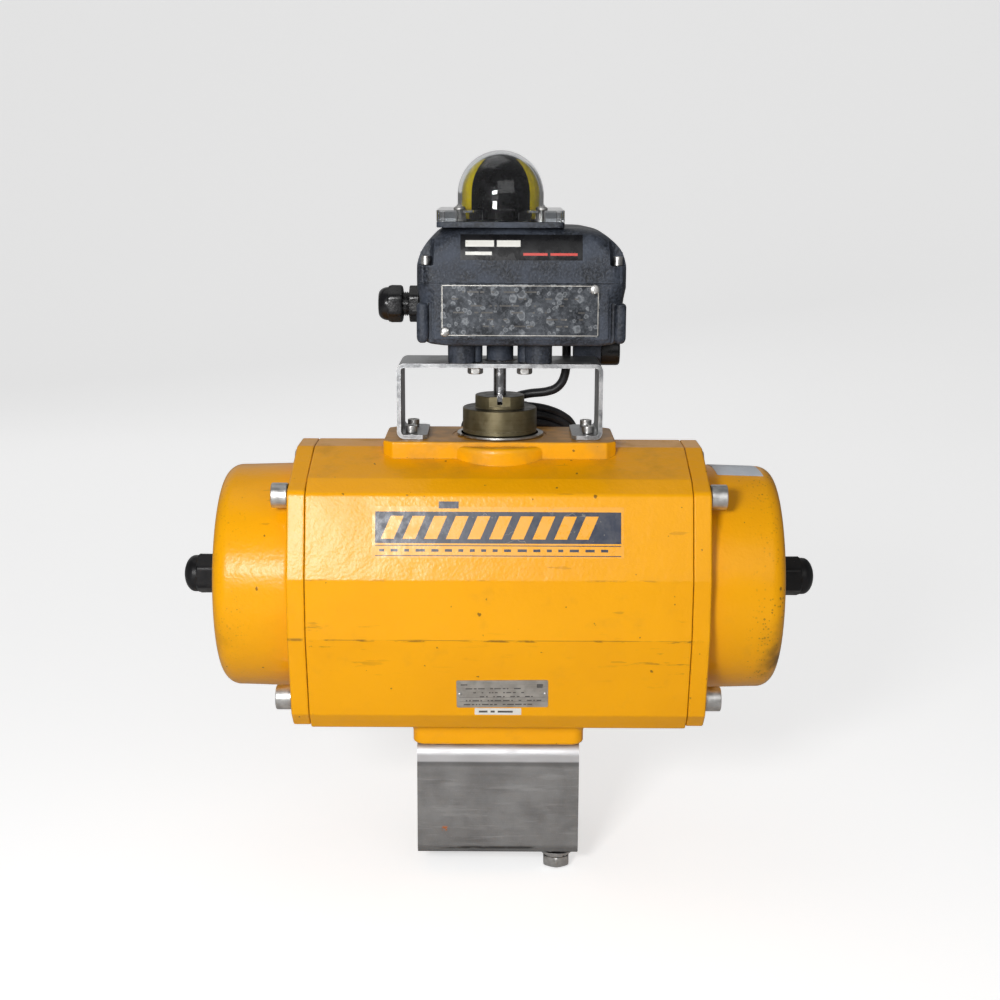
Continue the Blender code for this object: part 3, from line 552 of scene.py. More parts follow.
def buildSheet(tree):
    # sheet steel: brushed, smudged, a little scratched
    brushed = mottle(tree, 900.0, 3.0, 0.2, 0.8, stretch=(0.03, 1, 1))
    clouds = mottle(tree, 38.0, 5.0, 0.30, 0.72)
    pale = mottle(tree, 230.0, 6.0, 0.54, 0.66, stretch=(0.10, 1, 1), offset=(0, 5, 2))
    dark = mottle(tree, 160.0, 6.0, 0.55, 0.72, stretch=(0.12, 1, 1), offset=(4, 0, 1))
    salt = mottle(tree, 900.0, 2.0, 0.55, 0.75)
    colour = mix(tree, clouds, (0.235, 0.233, 0.232), (0.325, 0.323, 0.32))
    colour = over(tree, colour, (0.38, 0.38, 0.38), brushed, 0.25)
    colour = over(tree, colour, (0.12, 0.12, 0.12), dark, 0.22)
    colour = over(tree, colour, (0.52, 0.52, 0.52), pale, 0.20)
    colour = over(tree, colour, (0.50, 0.50, 0.50), salt, 0.20)
    # painted shade: near black in corners and gaps
    creviceShade = effect(tree, "creviceShade", distance=0.005)
    colour = over(tree, colour, (0.06, 0.055, 0.05), creviceShade, 0.6)
    x, y, z = axes(tree)
    grain = mottle(tree, 420.0, 4.0, 0.36, 0.48)
    rust = times(tree, within(tree, x, -0.0395, 0.0012, 0.0016), within(tree, z, 0.0215, 0.0008, 0.0018),
                 ramp(tree, y, -0.058, -0.0585), grain)
    colour = mix(tree, rust, colour, (0.42, 0.115, 0.02))
    # painted highlight: the front of the top bend is made paler, as where light falls on it
    bend = times(tree, ramp(tree, z, 0.0735, 0.0745), ramp(tree, y, -0.05, -0.058))
    colour = over(tree, colour, (0.74, 0.74, 0.76), bend, 0.70)
    line = times(tree, within(tree, z, 0.0725, 0.0006, 0.0022), ramp(tree, y, -0.05, -0.058))
    colour = over(tree, colour, (0.10, 0.10, 0.10), line, 0.45)
    fold = times(tree, within(tree, z, 0.0062, 0.0004, 0.0013), ramp(tree, y, -0.05, -0.058),
                 mottle(tree, 60.0, 5.0, 0.50, 0.60, stretch=(0.4, 1, 1)))
    colour = over(tree, colour, (0.05, 0.048, 0.045), fold, 0.8)
    rough = calc(tree, "ADD", ramp(tree, clouds, 0, 1, 0.42, 0.55), times(tree, brushed, 0.08))
    metal = calc(tree, "SUBTRACT", 0.85, times(tree, rust, 0.8))
    return {"Base Color": colour, "Roughness": rough, "Metallic": metal,
            "Normal": bumped(tree, (clouds, 0.00008), (brushed, 0.000012), (pale, 0.00002))}


def buildGalvanised(tree):
    # bright bracket sheet with a worn mottled skin and rubbed edges
    clouds = mottle(tree, 75.0, 6.0, 0.32, 0.68)
    fine = mottle(tree, 620.0, 3.0, 0.35, 0.70)
    colour = mix(tree, clouds, (0.20, 0.205, 0.215), (0.44, 0.445, 0.45))
    colour = over(tree, colour, (0.60, 0.60, 0.60), fine, 0.35)
    bright = effect(tree, "edgeWear", "Edge", radius=0.0008)
    colour = over(tree, colour, (0.85, 0.86, 0.87), bright, 0.5)
    # painted shade: near black in corners and gaps
    creviceShade = effect(tree, "creviceShade", distance=0.004)
    colour = over(tree, colour, (0.05, 0.05, 0.05), creviceShade, 0.55)
    return {"Base Color": colour, "Roughness": ramp(tree, clouds, 0, 1, 0.34, 0.50),
            "Normal": bumped(tree, (clouds, 0.00006), (fine, 0.00002))}


def buildPlated(tree):
    # dull bright plating with painted shade in the corners
    clouds = mottle(tree, 210.0, 5.0, 0.35, 0.70)
    colour = mix(tree, clouds, (0.50, 0.49, 0.475), (0.66, 0.655, 0.64))
    # painted shade: near black in corners and gaps
    creviceShade = effect(tree, "creviceShade", distance=0.0035, scale=300.0)
    colour = over(tree, colour, (0.06, 0.054, 0.045), creviceShade, 0.55)
    spots = specks(tree, 420.0, 0.24, 0.10)
    colour = over(tree, colour, (0.16, 0.14, 0.12), spots, 0.35)
    return {"Base Color": colour, "Roughness": ramp(tree, clouds, 0, 1, 0.34, 0.50),
            "Normal": bumped(tree, (clouds, 0.00004))}


def buildBronze(tree):
    # hard-anodised drum, turned, paler where the lathe's ridges are rubbed; its upward faces are painted dark as
    # shade
    rings = effect(tree, "turning", scale=2600.0)
    broad = effect(tree, "turning", scale=420.0)
    clouds = mottle(tree, 160.0, 5.0, 0.35, 0.68)
    colour = mix(tree, ramp(tree, broad, 0.30, 0.70), (0.135, 0.110, 0.055), (0.170, 0.142, 0.076))
    colour = over(tree, colour, (0.27, 0.235, 0.15), clouds, 0.30)
    # painted shade: faces that look upward are made dark
    up = node(tree, "SeparateXYZ", {0: node(tree, "NewGeometry").outputs["Normal"]}).outputs[2]
    colour = mix(tree, ramp(tree, up, 0.6, 0.9), colour, (0.050, 0.045, 0.036))
    worn = effect(tree, "edgeWear", radius=0.0006, scale=350.0, low=0.40, high=0.60)
    colour = over(tree, colour, (0.42, 0.38, 0.27), worn, 0.55)
    return {"Base Color": colour, "Roughness": ramp(tree, clouds, 0, 1, 0.38, 0.50),
            "Normal": bumped(tree, (rings, 0.00003), (broad, 0.00002))}


def buildMachined(tree):
    rings = effect(tree, "turning", scale=3200.0)
    clouds = mottle(tree, 190.0, 4.0, 0.35, 0.70)
    colour = mix(tree, clouds, (0.46, 0.46, 0.47), (0.62, 0.62, 0.63))
    # painted shade: darker in corners and gaps
    creviceShade = effect(tree, "creviceShade", distance=0.002)
    colour = over(tree, colour, (0.08, 0.075, 0.07), creviceShade, 0.3)
    return {"Base Color": colour, "Roughness": ramp(tree, clouds, 0, 1, 0.16, 0.32),
            "Normal": bumped(tree, (rings, 0.00002))}


def buildAluminium(tree):
    rings = effect(tree, "turning", scale=1800.0, axis=(1, 0, 0), centre=(0, 0, axisHeight))
    clouds = mottle(tree, 60.0, 5.0)
    colour = mix(tree, clouds, (0.58, 0.58, 0.59), (0.75, 0.75, 0.76))
    return {"Base Color": colour, "Roughness": ramp(tree, clouds, 0, 1, 0.25, 0.42),
            "Normal": bumped(tree, (rings, 0.00004))}


def buildSpring(tree):
    clouds = mottle(tree, 120.0, 5.0)
    colour = mix(tree, clouds, (0.03, 0.06, 0.16), (0.05, 0.10, 0.24))
    rubbed = effect(tree, "scratches", scale=70.0, width=0.03, share=0.45)
    colour = over(tree, colour, (0.30, 0.30, 0.31), rubbed, 0.5)
    return {"Base Color": colour, "Roughness": ramp(tree, clouds, 0, 1, 0.30, 0.48),
            "Normal": bumped(tree, (clouds, 0.00008))}


def plasticLook(dark, light, low, high, grain=0.00003, dustColour=(0.20, 0.20, 0.20), dust=0.12):
    # moulded plastic: fine grain, smudges, a little dust
    def build(tree):
        smudge = mottle(tree, 85.0, 5.0, 0.35, 0.70)
        fine = mottle(tree, 700.0, 2.0, 0.30, 0.70)
        colour = mix(tree, smudge, dark, light)
        lint = specks(tree, 260.0, 0.16, 0.18)
        colour = over(tree, colour, dustColour, lint, dust * 3)
        rubbed = effect(tree, "edgeWear", radius=0.0006, scale=420.0, low=0.42, high=0.64)
        colour = over(tree, colour, dustColour, rubbed, dust * 3)
        return {"Base Color": colour, "Roughness": ramp(tree, smudge, 0, 1, low, high),
                "Normal": bumped(tree, (fine, grain))}
    return build


casting = {"dark": (0.009, 0.011, 0.015), "light": (0.052, 0.062, 0.084), "pale": (0.19, 0.215, 0.255),
           "grain": 0.00012}


def buildCasting(tree):
    # dark blue-grey housing: fine mottled grain, chalky patches, rubbed edges
    clouds = mottle(tree, 42.0, 6.0, 0.34, 0.70)
    grainy = mottle(tree, 520.0, 3.0, 0.38, 0.66)
    pits = specks(tree, 480.0, 0.34, 0.30)
    colour = mix(tree, clouds, casting["dark"], casting["light"])
    colour = over(tree, colour, (0.080, 0.093, 0.122), grainy, 0.45)
    colour = over(tree, colour, (0.11, 0.122, 0.145), pits, 0.40)
    worn = effect(tree, "edgeWear", radius=0.0012, scale=240.0, low=0.36, high=0.60)
    colour = over(tree, colour, casting["pale"], worn, 0.55)
    # painted shade: near black in corners and gaps
    creviceShade = effect(tree, "creviceShade", distance=0.004)
    colour = over(tree, colour, (0.006, 0.006, 0.007), creviceShade, 0.6)
    return {"Base Color": colour, "Roughness": ramp(tree, clouds, 0, 1, 0.42, 0.58),
            "Normal": bumped(tree, (grainy, casting["grain"]), (pits, 0.00005), base=softEdges(tree, 0.0010))}


def buildClear(tree):
    haze = mottle(tree, 120.0, 4.0, 0.45, 0.75)
    fine = effect(tree, "scratches", scale=240.0, width=0.012, share=0.42)
    return {"Base Color": mix(tree, haze, (0.96, 0.97, 0.98), (0.86, 0.88, 0.90)),
            "Roughness": calc(tree, "ADD", ramp(tree, haze, 0, 1, 0.02, 0.06), times(tree, fine, 0.10)),
            "Normal": bumped(tree, (fine, 0.000006))}


beacon = {"black": (0.003, 0.003, 0.004), "yellow": (0.95, 0.74, 0.02), "halfSector": 46.0, "capHeight": 0.5105}


def buildIndicator(tree):
    # four sectors about the shaft, black at the front and the back at rest; the crown is black
    x, y, z = axes(tree)
    angle = calc(tree, "ARCTAN2", calc(tree, "ABSOLUTE", x), calc(tree, "ABSOLUTE", y))
    side = ramp(tree, angle, math.radians(beacon["halfSector"] - 0.4), math.radians(beacon["halfSector"] + 0.4))
    body = inverse(tree, ramp(tree, z, beacon["capHeight"], beacon["capHeight"] + 0.0003))
    smudge = mottle(tree, 160.0, 4.0)
    yellow = mix(tree, smudge, beacon["yellow"], (0.84, 0.63, 0.015))
    black = mix(tree, smudge, beacon["black"], (0.008, 0.008, 0.010))
    return {"Base Color": mix(tree, times(tree, side, body), black, yellow),
            "Roughness": ramp(tree, smudge, 0, 1, 0.22, 0.34), "Normal": bumped(tree, (smudge, 0.00003))}


def buildPlate(tree):
    # small aluminium type plate, brushed and dulled
    brushed = mottle(tree, 900.0, 2.0, 0.25, 0.75, stretch=(0.04, 1, 1))
    clouds = mottle(tree, 110.0, 5.0)
    colour = mix(tree, clouds, (0.36, 0.34, 0.31), (0.52, 0.50, 0.46))
    return {"Base Color": mix(tree, times(tree, brushed, 0.3), colour, (0.62, 0.60, 0.57)),
            "Roughness": ramp(tree, clouds, 0, 1, 0.34, 0.48), "Normal": bumped(tree, (brushed, 0.00001))}


def buildWornPlate(tree):
    # dark name plate whose print and skin are etched into pale rings and blots
    clouds = mottle(tree, 60.0, 6.0, 0.32, 0.70)
    fine = mottle(tree, 430.0, 4.0, 0.44, 0.62)
    ring = 0.0
    for scale, share in ((150.0, 0.45), (270.0, 0.40)):
        blots = specks(tree, scale, 0.44, share)
        inner = specks(tree, scale, 0.30, share)
        ring = calc(tree, "MAXIMUM", ring, calc(tree, "SUBTRACT", blots, times(tree, inner, 0.7), clamp=True))
    colour = mix(tree, clouds, (0.014, 0.016, 0.020), (0.052, 0.058, 0.068))
    colour = over(tree, colour, (0.13, 0.142, 0.16), fine, 0.40)
    colour = over(tree, colour, (0.34, 0.36, 0.38), ring, 0.50)
    return {"Base Color": colour, "Roughness": ramp(tree, clouds, 0, 1, 0.32, 0.52),
            "Normal": bumped(tree, (ring, 0.00003), (fine, 0.00001))}


def printed(colour, worn, share=0.30, roughness=(0.30, 0.45)):
    # ink or film, scratched through in places
    def build(tree):
        smudge = mottle(tree, 120.0, 5.0)
        lines = effect(tree, "scratches", scale=85.0, width=0.016, share=share, stretch=(1, 1, 1.3))
        flecks = specks(tree, 380.0, 0.22, 0.10)
        gone = calc(tree, "MAXIMUM", times(tree, lines, 0.6), times(tree, flecks, 0.4))
        tone = mix(tree, times(tree, smudge, 0.25), colour,
                   tuple(0.6 * c + 0.4 * w for c, w in zip(colour, worn)))
        return {"Base Color": mix(tree, gone, tone, worn), "Roughness": ramp(tree, smudge, 0, 1, *roughness),
                "Normal": bumped(tree, (node(tree, "TexNoise",
                                             {"Vector": position(tree), "Scale": 420.0}).outputs[0], 0.00006))}
    return build


looks = {
    "housingPaint": material("yellow paint, housing", lambda t: paintBase(t, housingMarks),
                             Specular_IOR_Level=0.3),
    "capPaint": material("yellow paint, caps", lambda t: paintBase(t, capMarks), Specular_IOR_Level=0.3),
    "sheet": material("bracket steel", buildSheet),
    "galvanised": material("galvanised sheet", buildGalvanised, Metallic=0.9),
    "plated": material("plated steel", buildPlated, Metallic=1.0),
    "bronze": material("bronze anodised", buildBronze, Metallic=0.75),
    "machined": material("machined steel", buildMachined, Metallic=1.0),
    "aluminium": material("bare aluminium", buildAluminium, Metallic=1.0),
    "spring": material("coated spring", buildSpring, Metallic=0.2),
    "blackPlastic": material("black plastic", Specular_IOR_Level=0.4,
                             build=plasticLook((0.005, 0.005, 0.006), (0.011, 0.011, 0.012), 0.20, 0.34)),
    "capPlastic": material("matt black plastic", Specular_IOR_Level=0.3,
                           build=plasticLook((0.006, 0.006, 0.007), (0.015, 0.015, 0.017), 0.30, 0.46)),
    "bush": material("bearing plastic", plasticLook((0.62, 0.60, 0.52), (0.74, 0.72, 0.64), 0.40, 0.55)),
    "rubber": material("black rubber", plasticLook((0.010, 0.010, 0.010), (0.022, 0.022, 0.022), 0.60, 0.80)),
    "casting": material("box casting", buildCasting, Specular_IOR_Level=0.30),
    "clear": material("clear cover", buildClear, Transmission_Weight=1.0, IOR=1.40, Metallic=0.0),
    "indicator": material("indicator rotor", buildIndicator, Specular_IOR_Level=0.15),
    "switchBody": material("switch body", plasticLook((0.02, 0.02, 0.024), (0.05, 0.05, 0.055), 0.35, 0.5)),
    "terminal": material("terminal block", plasticLook((0.45, 0.47, 0.45), (0.56, 0.58, 0.56), 0.4, 0.55)),
    "cam": material("cam plastic", plasticLook((0.50, 0.05, 0.04), (0.62, 0.09, 0.07), 0.35, 0.5)),
    "sheath": material("cable sheath", plasticLook((0.014, 0.014, 0.016), (0.032, 0.032, 0.036), 0.42, 0.60),
                       Specular_IOR_Level=0.35),
    "typePlate": material("type plate", buildPlate, Metallic=0.8),
    "wornPlate": material("worn name plate", buildWornPlate, Metallic=0.3, Specular_IOR_Level=0.35),
    "film": material("label film", printed((0.92, 0.40, 0.01), (0.70, 0.40, 0.10), 0.42, (0.26, 0.40))),
    "navy": material("navy print", printed((0.020, 0.028, 0.055), (0.30, 0.27, 0.22), 0.44)),
    "plateInk": material("plate ink", printed((0.07, 0.065, 0.06), (0.35, 0.33, 0.30), 0.40)),
    "white": material("white label", printed((0.78, 0.77, 0.72), (0.35, 0.31, 0.24), 0.36)),
    "black": material("black label", printed((0.003, 0.003, 0.004), (0.035, 0.037, 0.042), 0.36, (0.22, 0.36)),
                      Specular_IOR_Level=0.3),
    "red": material("red print", printed((0.62, 0.045, 0.030), (0.10, 0.02, 0.02), 0.40)),
    "tape": material("pale tape", printed((0.60, 0.65, 0.72), (0.40, 0.42, 0.45), 0.45)),
}
print("materials made")


# Signal cable: one line from the grommet, past the coupler, round the tied coil and into its connector

cable = {"radius": 3.4 * mm, "exit": (0.051, 0.045, 0.3722), "coilCentre": (0.017, 0.0849, 0.2918), "tilt": 37.6,
         "outer": 0.0421, "inner": 0.0349, "layer": 7.1 * mm, "beside": 0.0495, "perTurn": 20,
         "besideHeight": 3.5 * mm, "connectorHeight": 17.8 * mm, "connectorHalf": 22 * mm, "middle": 0.0385,
         "step": 6.0 * mm}


def coilPoint(angle, radius, height):
    tilt, turn = math.radians(cable["tilt"]), math.radians(angle)
    uphill = Vector((0, -math.cos(tilt), math.sin(tilt)))
    normal = Vector((0, math.sin(tilt), math.cos(tilt)))
    outward = math.cos(turn) * uphill + math.sin(turn) * Vector((1, 0, 0))
    return Vector(cable["coilCentre"]) + radius * outward + height * normal


def coilStations():
    # (angle, radius, height) where the winding changes layer, in steps of one turn
    outer, inner, layer = cable["outer"], cable["inner"], cable["layer"]
    stations = [(-42, cable["beside"], cable["besideHeight"]), (-110, outer, layer)]
    turn = -360
    for radius, height in ((outer, 0), (outer, -layer), (inner, -layer), (inner, 0), (inner, layer)):
        stations += [(turn - 20, *stations[-1][1:]), (turn - 50, radius, height)]
        turn -= 360
    top = cable["connectorHeight"]
    stations += [(-2110, inner, layer), (-2185, inner, 2 * layer), (-2235, 0.0375, 0.0158),
                 (-2280, 0.0418, top - 0.0004), (-2310, 0.0443, top)]
    return stations


def coilLine():
    stations = coilStations()
    points = []
    step = 360 / cable["perTurn"]
    for (a0, r0, h0), (a1, r1, h1) in zip(stations, stations[1:]):
        count = max(1, round((a0 - a1) / step))
        for i in range(count):
            t = i / count
            s = t * t * (3 - 2 * t)
            points.append(coilPoint(a0 + (a1 - a0) * t, r0 + (r1 - r0) * s, h0 + (h1 - h0) * s))
    last = coilPoint(180, cable["middle"], cable["connectorHeight"]) - Vector((cable["connectorHalf"] - 1 * mm,
                                                                               0, 0))
    return points + [last]


def smoothLine(points, spacing):
    ends = [points[0] * 2 - points[1]] + points + [points[-1] * 2 - points[-2]]
    fine = []
    for a, b, c, d in zip(ends, ends[1:], ends[2:], ends[3:]):
        for i in range(24):
            t = i / 24
            fine.append(0.5 * (2 * b + (c - a) * t + (2 * a - 5 * b + 4 * c - d) * t ** 2
                               + (3 * b - a - 3 * c + d) * t ** 3))
    fine.append(points[-1])
    length = sum((b - a).length for a, b in zip(fine, fine[1:]))
    count = round(length / spacing)
    read, walked, target = [fine[0]], 0.0, length / count
    for a, b in zip(fine, fine[1:]):
        step = (b - a).length
        while walked + step >= target and len(read) < count:
            read.append(a.lerp(b, (target - walked) / step))
            target += length / count
        walked += step
    return read + [fine[-1]]


def makeCable():
    x, y, z = cable["exit"]
    route = [Vector(p) for p in ((x, y, z), (x, y, 0.362), (0.0505, y, 0.3525), (0.048, 0.0452, 0.344),
                                 (0.042, 0.0457, 0.3380), (0.033, 0.0468, 0.3355), (0.022, 0.0485, 0.3340),
                                 (0.011, 0.0500, 0.3305))]
    route += [coilPoint(angle, cable["beside"], cable["besideHeight"]) for angle in (-18, -30, -42)]
    points = smoothLine(route, cable["step"])[:-1] + coilLine()
    curve = bpy.data.curves.new("signalCable", "CURVE")
    curve.dimensions = "3D"
    curve.bevel_depth, curve.bevel_resolution = cable["radius"], 5
    curve.use_fill_caps = True
    curve.resolution_u = 5
    line = curve.splines.new("BEZIER")
    line.bezier_points.add(len(points) - 1)
    for handle, point in zip(line.bezier_points, points):
        handle.co = point
        handle.handle_left_type = handle.handle_right_type = "AUTO"
    curve.materials.append(looks["sheath"])
    made = bpy.data.objects.new("signalCable", curve)
    bpy.context.scene.collection.objects.link(made)
    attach(made, "actuator")
    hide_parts("signal_cable", "cable_coil")
    length = sum((b - a).length for a, b in zip(points, points[1:]))
    return made, length


def makeConnector():
    # moulded grip with ridges and a ribbed metal coupling ring
    half = cable["connectorHalf"]
    centre = coilPoint(180, cable["middle"], cable["connectorHeight"])
    rows = [(0, -half), (0.0040, -half), (0.0046, -half + 0.0008)]
    for i in range(6):
        at, base = -half + 0.0022 + i * 0.0017, 0.0046 + 0.00035 * i
        rows += [(base, at), (base + 0.0005, at + 0.0003), (base + 0.0005, at + 0.0009), (base, at + 0.0012)]
    rows += [(0.0068, -half + 0.0135), (0.0070, -half + 0.0150), (0.0070, 0.0045), (0.0064, 0.0052), (0, 0.0052)]
    bm = lathe([(r, centre.x + a) for r, a in rows], "X", (centre.y, centre.z), 40)
    grip = piece("connectorGrip", bm, "blackPlastic", nodes="cable_connector")

    def ribs(radius, angle):
        return radius - 0.00035 * (0.5 + 0.5 * math.cos(24 * angle)) if radius > 0.0066 else radius

    ring = [(0.0044, 0.0056), (0.0062, 0.0056), (0.0070, 0.0064), (0.0070, half - 0.0030),
            (0.0062, half - 0.0022), (0.0060, half), (0.0050, half), (0.0050, half - 0.006),
            (0.0044, half - 0.006)]
    bm = lathe([(r, centre.x + a) for r, a in ring], "X", (centre.y, centre.z), 96, loop=True,
               shape=ribs)
    nut = piece("connectorRing", bm, "plated")
    face = [(0, half - 0.0055), (0.0042, half - 0.0055), (0.0042, 0.0058), (0, 0.0058)]
    bm = lathe([(r, centre.x + a) for r, a in face], "X", (centre.y, centre.z), 32)
    for k in range(4):
        pin = math.radians(45 + 90 * k)
        at = (centre.y + 0.0022 * math.cos(pin), centre.z + 0.0022 * math.sin(pin))
        lathe([(0, centre.x + half - 0.0056), (0.0005, centre.x + half - 0.0056),
               (0.0005, centre.x + half - 0.0018), (0, centre.x + half - 0.0014)], "X", at, 12, bm=bm)
    core = piece("connectorCore", bm, "blackPlastic")
    return [grip, nut, core]


# the tie's half band and half head are in degrees round the coil
tie = {"halfWide": 7.85 * mm, "halfHigh": 11.35 * mm, "corner": 3.4 * mm, "halfBand": 2.1, "thick": 1.1 * mm,
       "halfHead": 3.4, "headHigh": 3.4 * mm}


def makeTie(name, angle):
    # a nylon tie round the winding, with its head on top
    middle, wide, high = cable["middle"], tie["halfWide"], tie["halfHigh"]
    outline = filleted([(middle + wide, high), (middle - wide, high), (middle - wide, -high),
                        (middle + wide, -high)], tie["corner"], 15)
    rings = []
    for out, side in ((0, -1), (tie["thick"], -1), (tie["thick"], 1), (0, 1)):
        ring = []
        for r, h in outline:
            away = Vector((r - middle, h)).normalized() * out
            ring.append(coilPoint(angle + side * tie["halfBand"], r + away.x, h + away.y))
        rings.append(ring)
    half = tie["halfHead"]
    bm = loft(rings, loop=True)
    loft([[coilPoint(angle + a, r, h) for a, r in rectangle(-half, middle - 0.003, half, middle + 0.004)]
          for h in (high, high + tie["headHigh"])], bm=bm)
    return piece(name, bm, "capPlastic", bevel=(0.0003, 2, 40))


cord, cordLength = makeCable()
onCord = makeConnector() + [makeTie("cableTieA", -90), makeTie("cableTieB", 128)]
print("cable laid,", round(cordLength, 3), "m")


# Housing

housing = {"half": 0.1365, "bore": 0.075, "edge": 1.0 * mm, "padHalfX": 0.085, "padHalfY": 0.036,
           "padCorner": 7.0 * mm, "padTop": 0.3103, "bossRadius": 0.0475, "recess": 0.0350, "lowerBore": 0.029,
           "upperBore": 0.0242, "flange": 0.0441942, "flangeHole": 6.9 * mm, "footHalf": 0.0628, "boltY": 0.069,
           "boltZ": 0.075, "boltHole": 6.8 * mm, "portX": 12 * mm, "portHole": 5.9 * mm, "screwX": 0.065,
           "screwY": 0.015, "screwHole": 2.9 * mm}
shoulders = ((0.0655, 0.0870), (0.0805, 0.0785))


def bodyOutline(bottom, shoulder, radii):
    right = [(0.017, 0.1017), *shoulder, (0.096, 0.020), (0.096, -0.0235), (0.082, -0.084), (0.071, bottom)]
    left = [(-y, z) for y, z in reversed(right)]
    return filleted([(y, z + axisHeight) for y, z in right + left], list(radii) + list(reversed(radii)), 8)[::-1]


def makeHousing():
    h = housing
    outline = bodyOutline(-0.0975, shoulders, (0.006, 0.006, 0.005, 0.0025, 0.0025, 0.004, 0.004))
    edge = h["edge"]
    rings = []
    for x, inset in ((-h["half"], edge), (-h["half"] + edge * 0.3, edge * 0.3), (-h["half"] + edge, 0)):
        rings.append([(x, *insetPoint(outline, i, inset)) for i in range(len(outline))])
    rings += [[(-p[0], p[1], p[2]) for p in ring] for ring in reversed(rings)]
    body = loft(rings)

    half = h["footHalf"]
    foot = [(half - 0.0030, 0.0880), (half - 0.0020, 0.0882), (half - 0.0011, 0.0887), (half - 0.0004, 0.0895),
            (half, 0.0906), (half, 0.0972)]
    for i in range(1, 7):
        angle = math.radians(15 * i)
        foot.append((half + 0.0065 * (1 - math.cos(angle)), 0.0972 + 0.0073 * math.sin(angle)))
    foot.append((foot[-1][0], 0.112))
    footRings = [[(x, y, z) for x, y in rectangle(-s, -s, s, s, 0.008)] for s, z in foot]

    padX, padY, corner = h["padHalfX"], h["padHalfY"], h["padCorner"]
    plan = [(padX, padY - corner), (padX - corner, padY), (corner - padX, padY), (-padX, padY - corner),
            (-padX, corner - padY), (corner - padX, -padY), (padX - corner, -padY), (padX, corner - padY)]
    top = h["padTop"]
    padRings = []
    for inset, z in ((0, 0.275), (0, top - 0.0016), (0.0004, top - 0.0007), (0.0012, top)):
        shape = filleted(plan, 0.0025, 20)
        padRings.append([(*insetPoint(shape, i, inset), z) for i in range(len(shape))])
    r = h["bossRadius"]
    boss = [(r, 0.275), (r, 0.3030), (r - 0.0003, 0.3050), (r - 0.0011, 0.3063), (r - 0.0023, 0.3070)]

    body = joined(body, loft(footRings), loft(padRings), lathe(boss, segments=96))
    tools = [drill(h["bore"], -0.15, 0.15, "X", (0, axisHeight), 96),
             drill(h["lowerBore"], 0.08, 0.14, segments=64), drill(h["upperBore"], 0.26, 0.32, segments=64),
             drill(h["recess"], top - 0.0004, top + 0.01, segments=64)]
    for x in (-1, 1):
        port = (x * h["portX"], axisHeight)
        tools.append(drill(h["portHole"], 0.06, 0.11, "Y", port, 40))
        tools.append(lathe([(0.0079, 0.0950), (0.0085, 0.0970)], "Y", port, 40))
        for y in (-1, 1):
            tools.append(drill(h["flangeHole"], 0.08, 0.1075, centre=(x * h["flange"], y * h["flange"])))
            tools.append(drill(h["screwHole"], 0.297, 0.32, centre=(x * h["screwX"], y * h["screwY"])))
            for z in (-1, 1):
                tools.append(drill(h["boltHole"], *sorted((x * 0.110, x * 0.15)), "X",
                                   (y * h["boltY"], axisHeight + z * h["boltZ"]), 24))
    piece("housingBody", cut(body, *tools), "housingPaint", nodes="housing", sharp=26)


def insetPoint(outline, i, distance):
    # point i of an anticlockwise outline, moved inwards
    before, here, after = Vector(outline[i - 1]), Vector(outline[i]), Vector(outline[(i + 1) % len(outline)])
    first, second = (here - before).normalized(), (after - here).normalized()
    normal = Vector((-first.y, first.x)) + Vector((-second.y, second.x))
    normal.normalize()
    share = distance / max(0.3, normal.dot(Vector((-first.y, first.x))))
    return tuple(here + normal * share)


def makeAirPorts():
    # threaded port inserts seen at the back
    for name, x in (("airPortA", -housing["portX"]), ("airPortB", housing["portX"])):
        rows = [(0.0050, 0.0800)]
        for i in range(9):
            rows += [(0.0050, 0.0808 + i * 0.0014), (0.0057, 0.0815 + i * 0.0014)]
        rows += [(0.0050, 0.0945), (0.0058, 0.0950), (0.0058, 0.0800)]
        piece(name, lathe(rows, "Y", (x, axisHeight), 40, loop=True), "aluminium")


makeHousing()
makeAirPorts()
print("housing made")


# End caps, their screws and the travel stops

endCap = {"flangeIn": 0.1368, "flangeOut": 0.1495, "neck": 0.0846, "wall": 0.0834, "corner": 12 * mm,
          "end": 0.2100, "room": 0.0755, "segments": 128, "boltHead": 9.0 * mm, "boltShank": 6.0 * mm,
          "boltTop": 0.1615, "boltTip": 0.113}


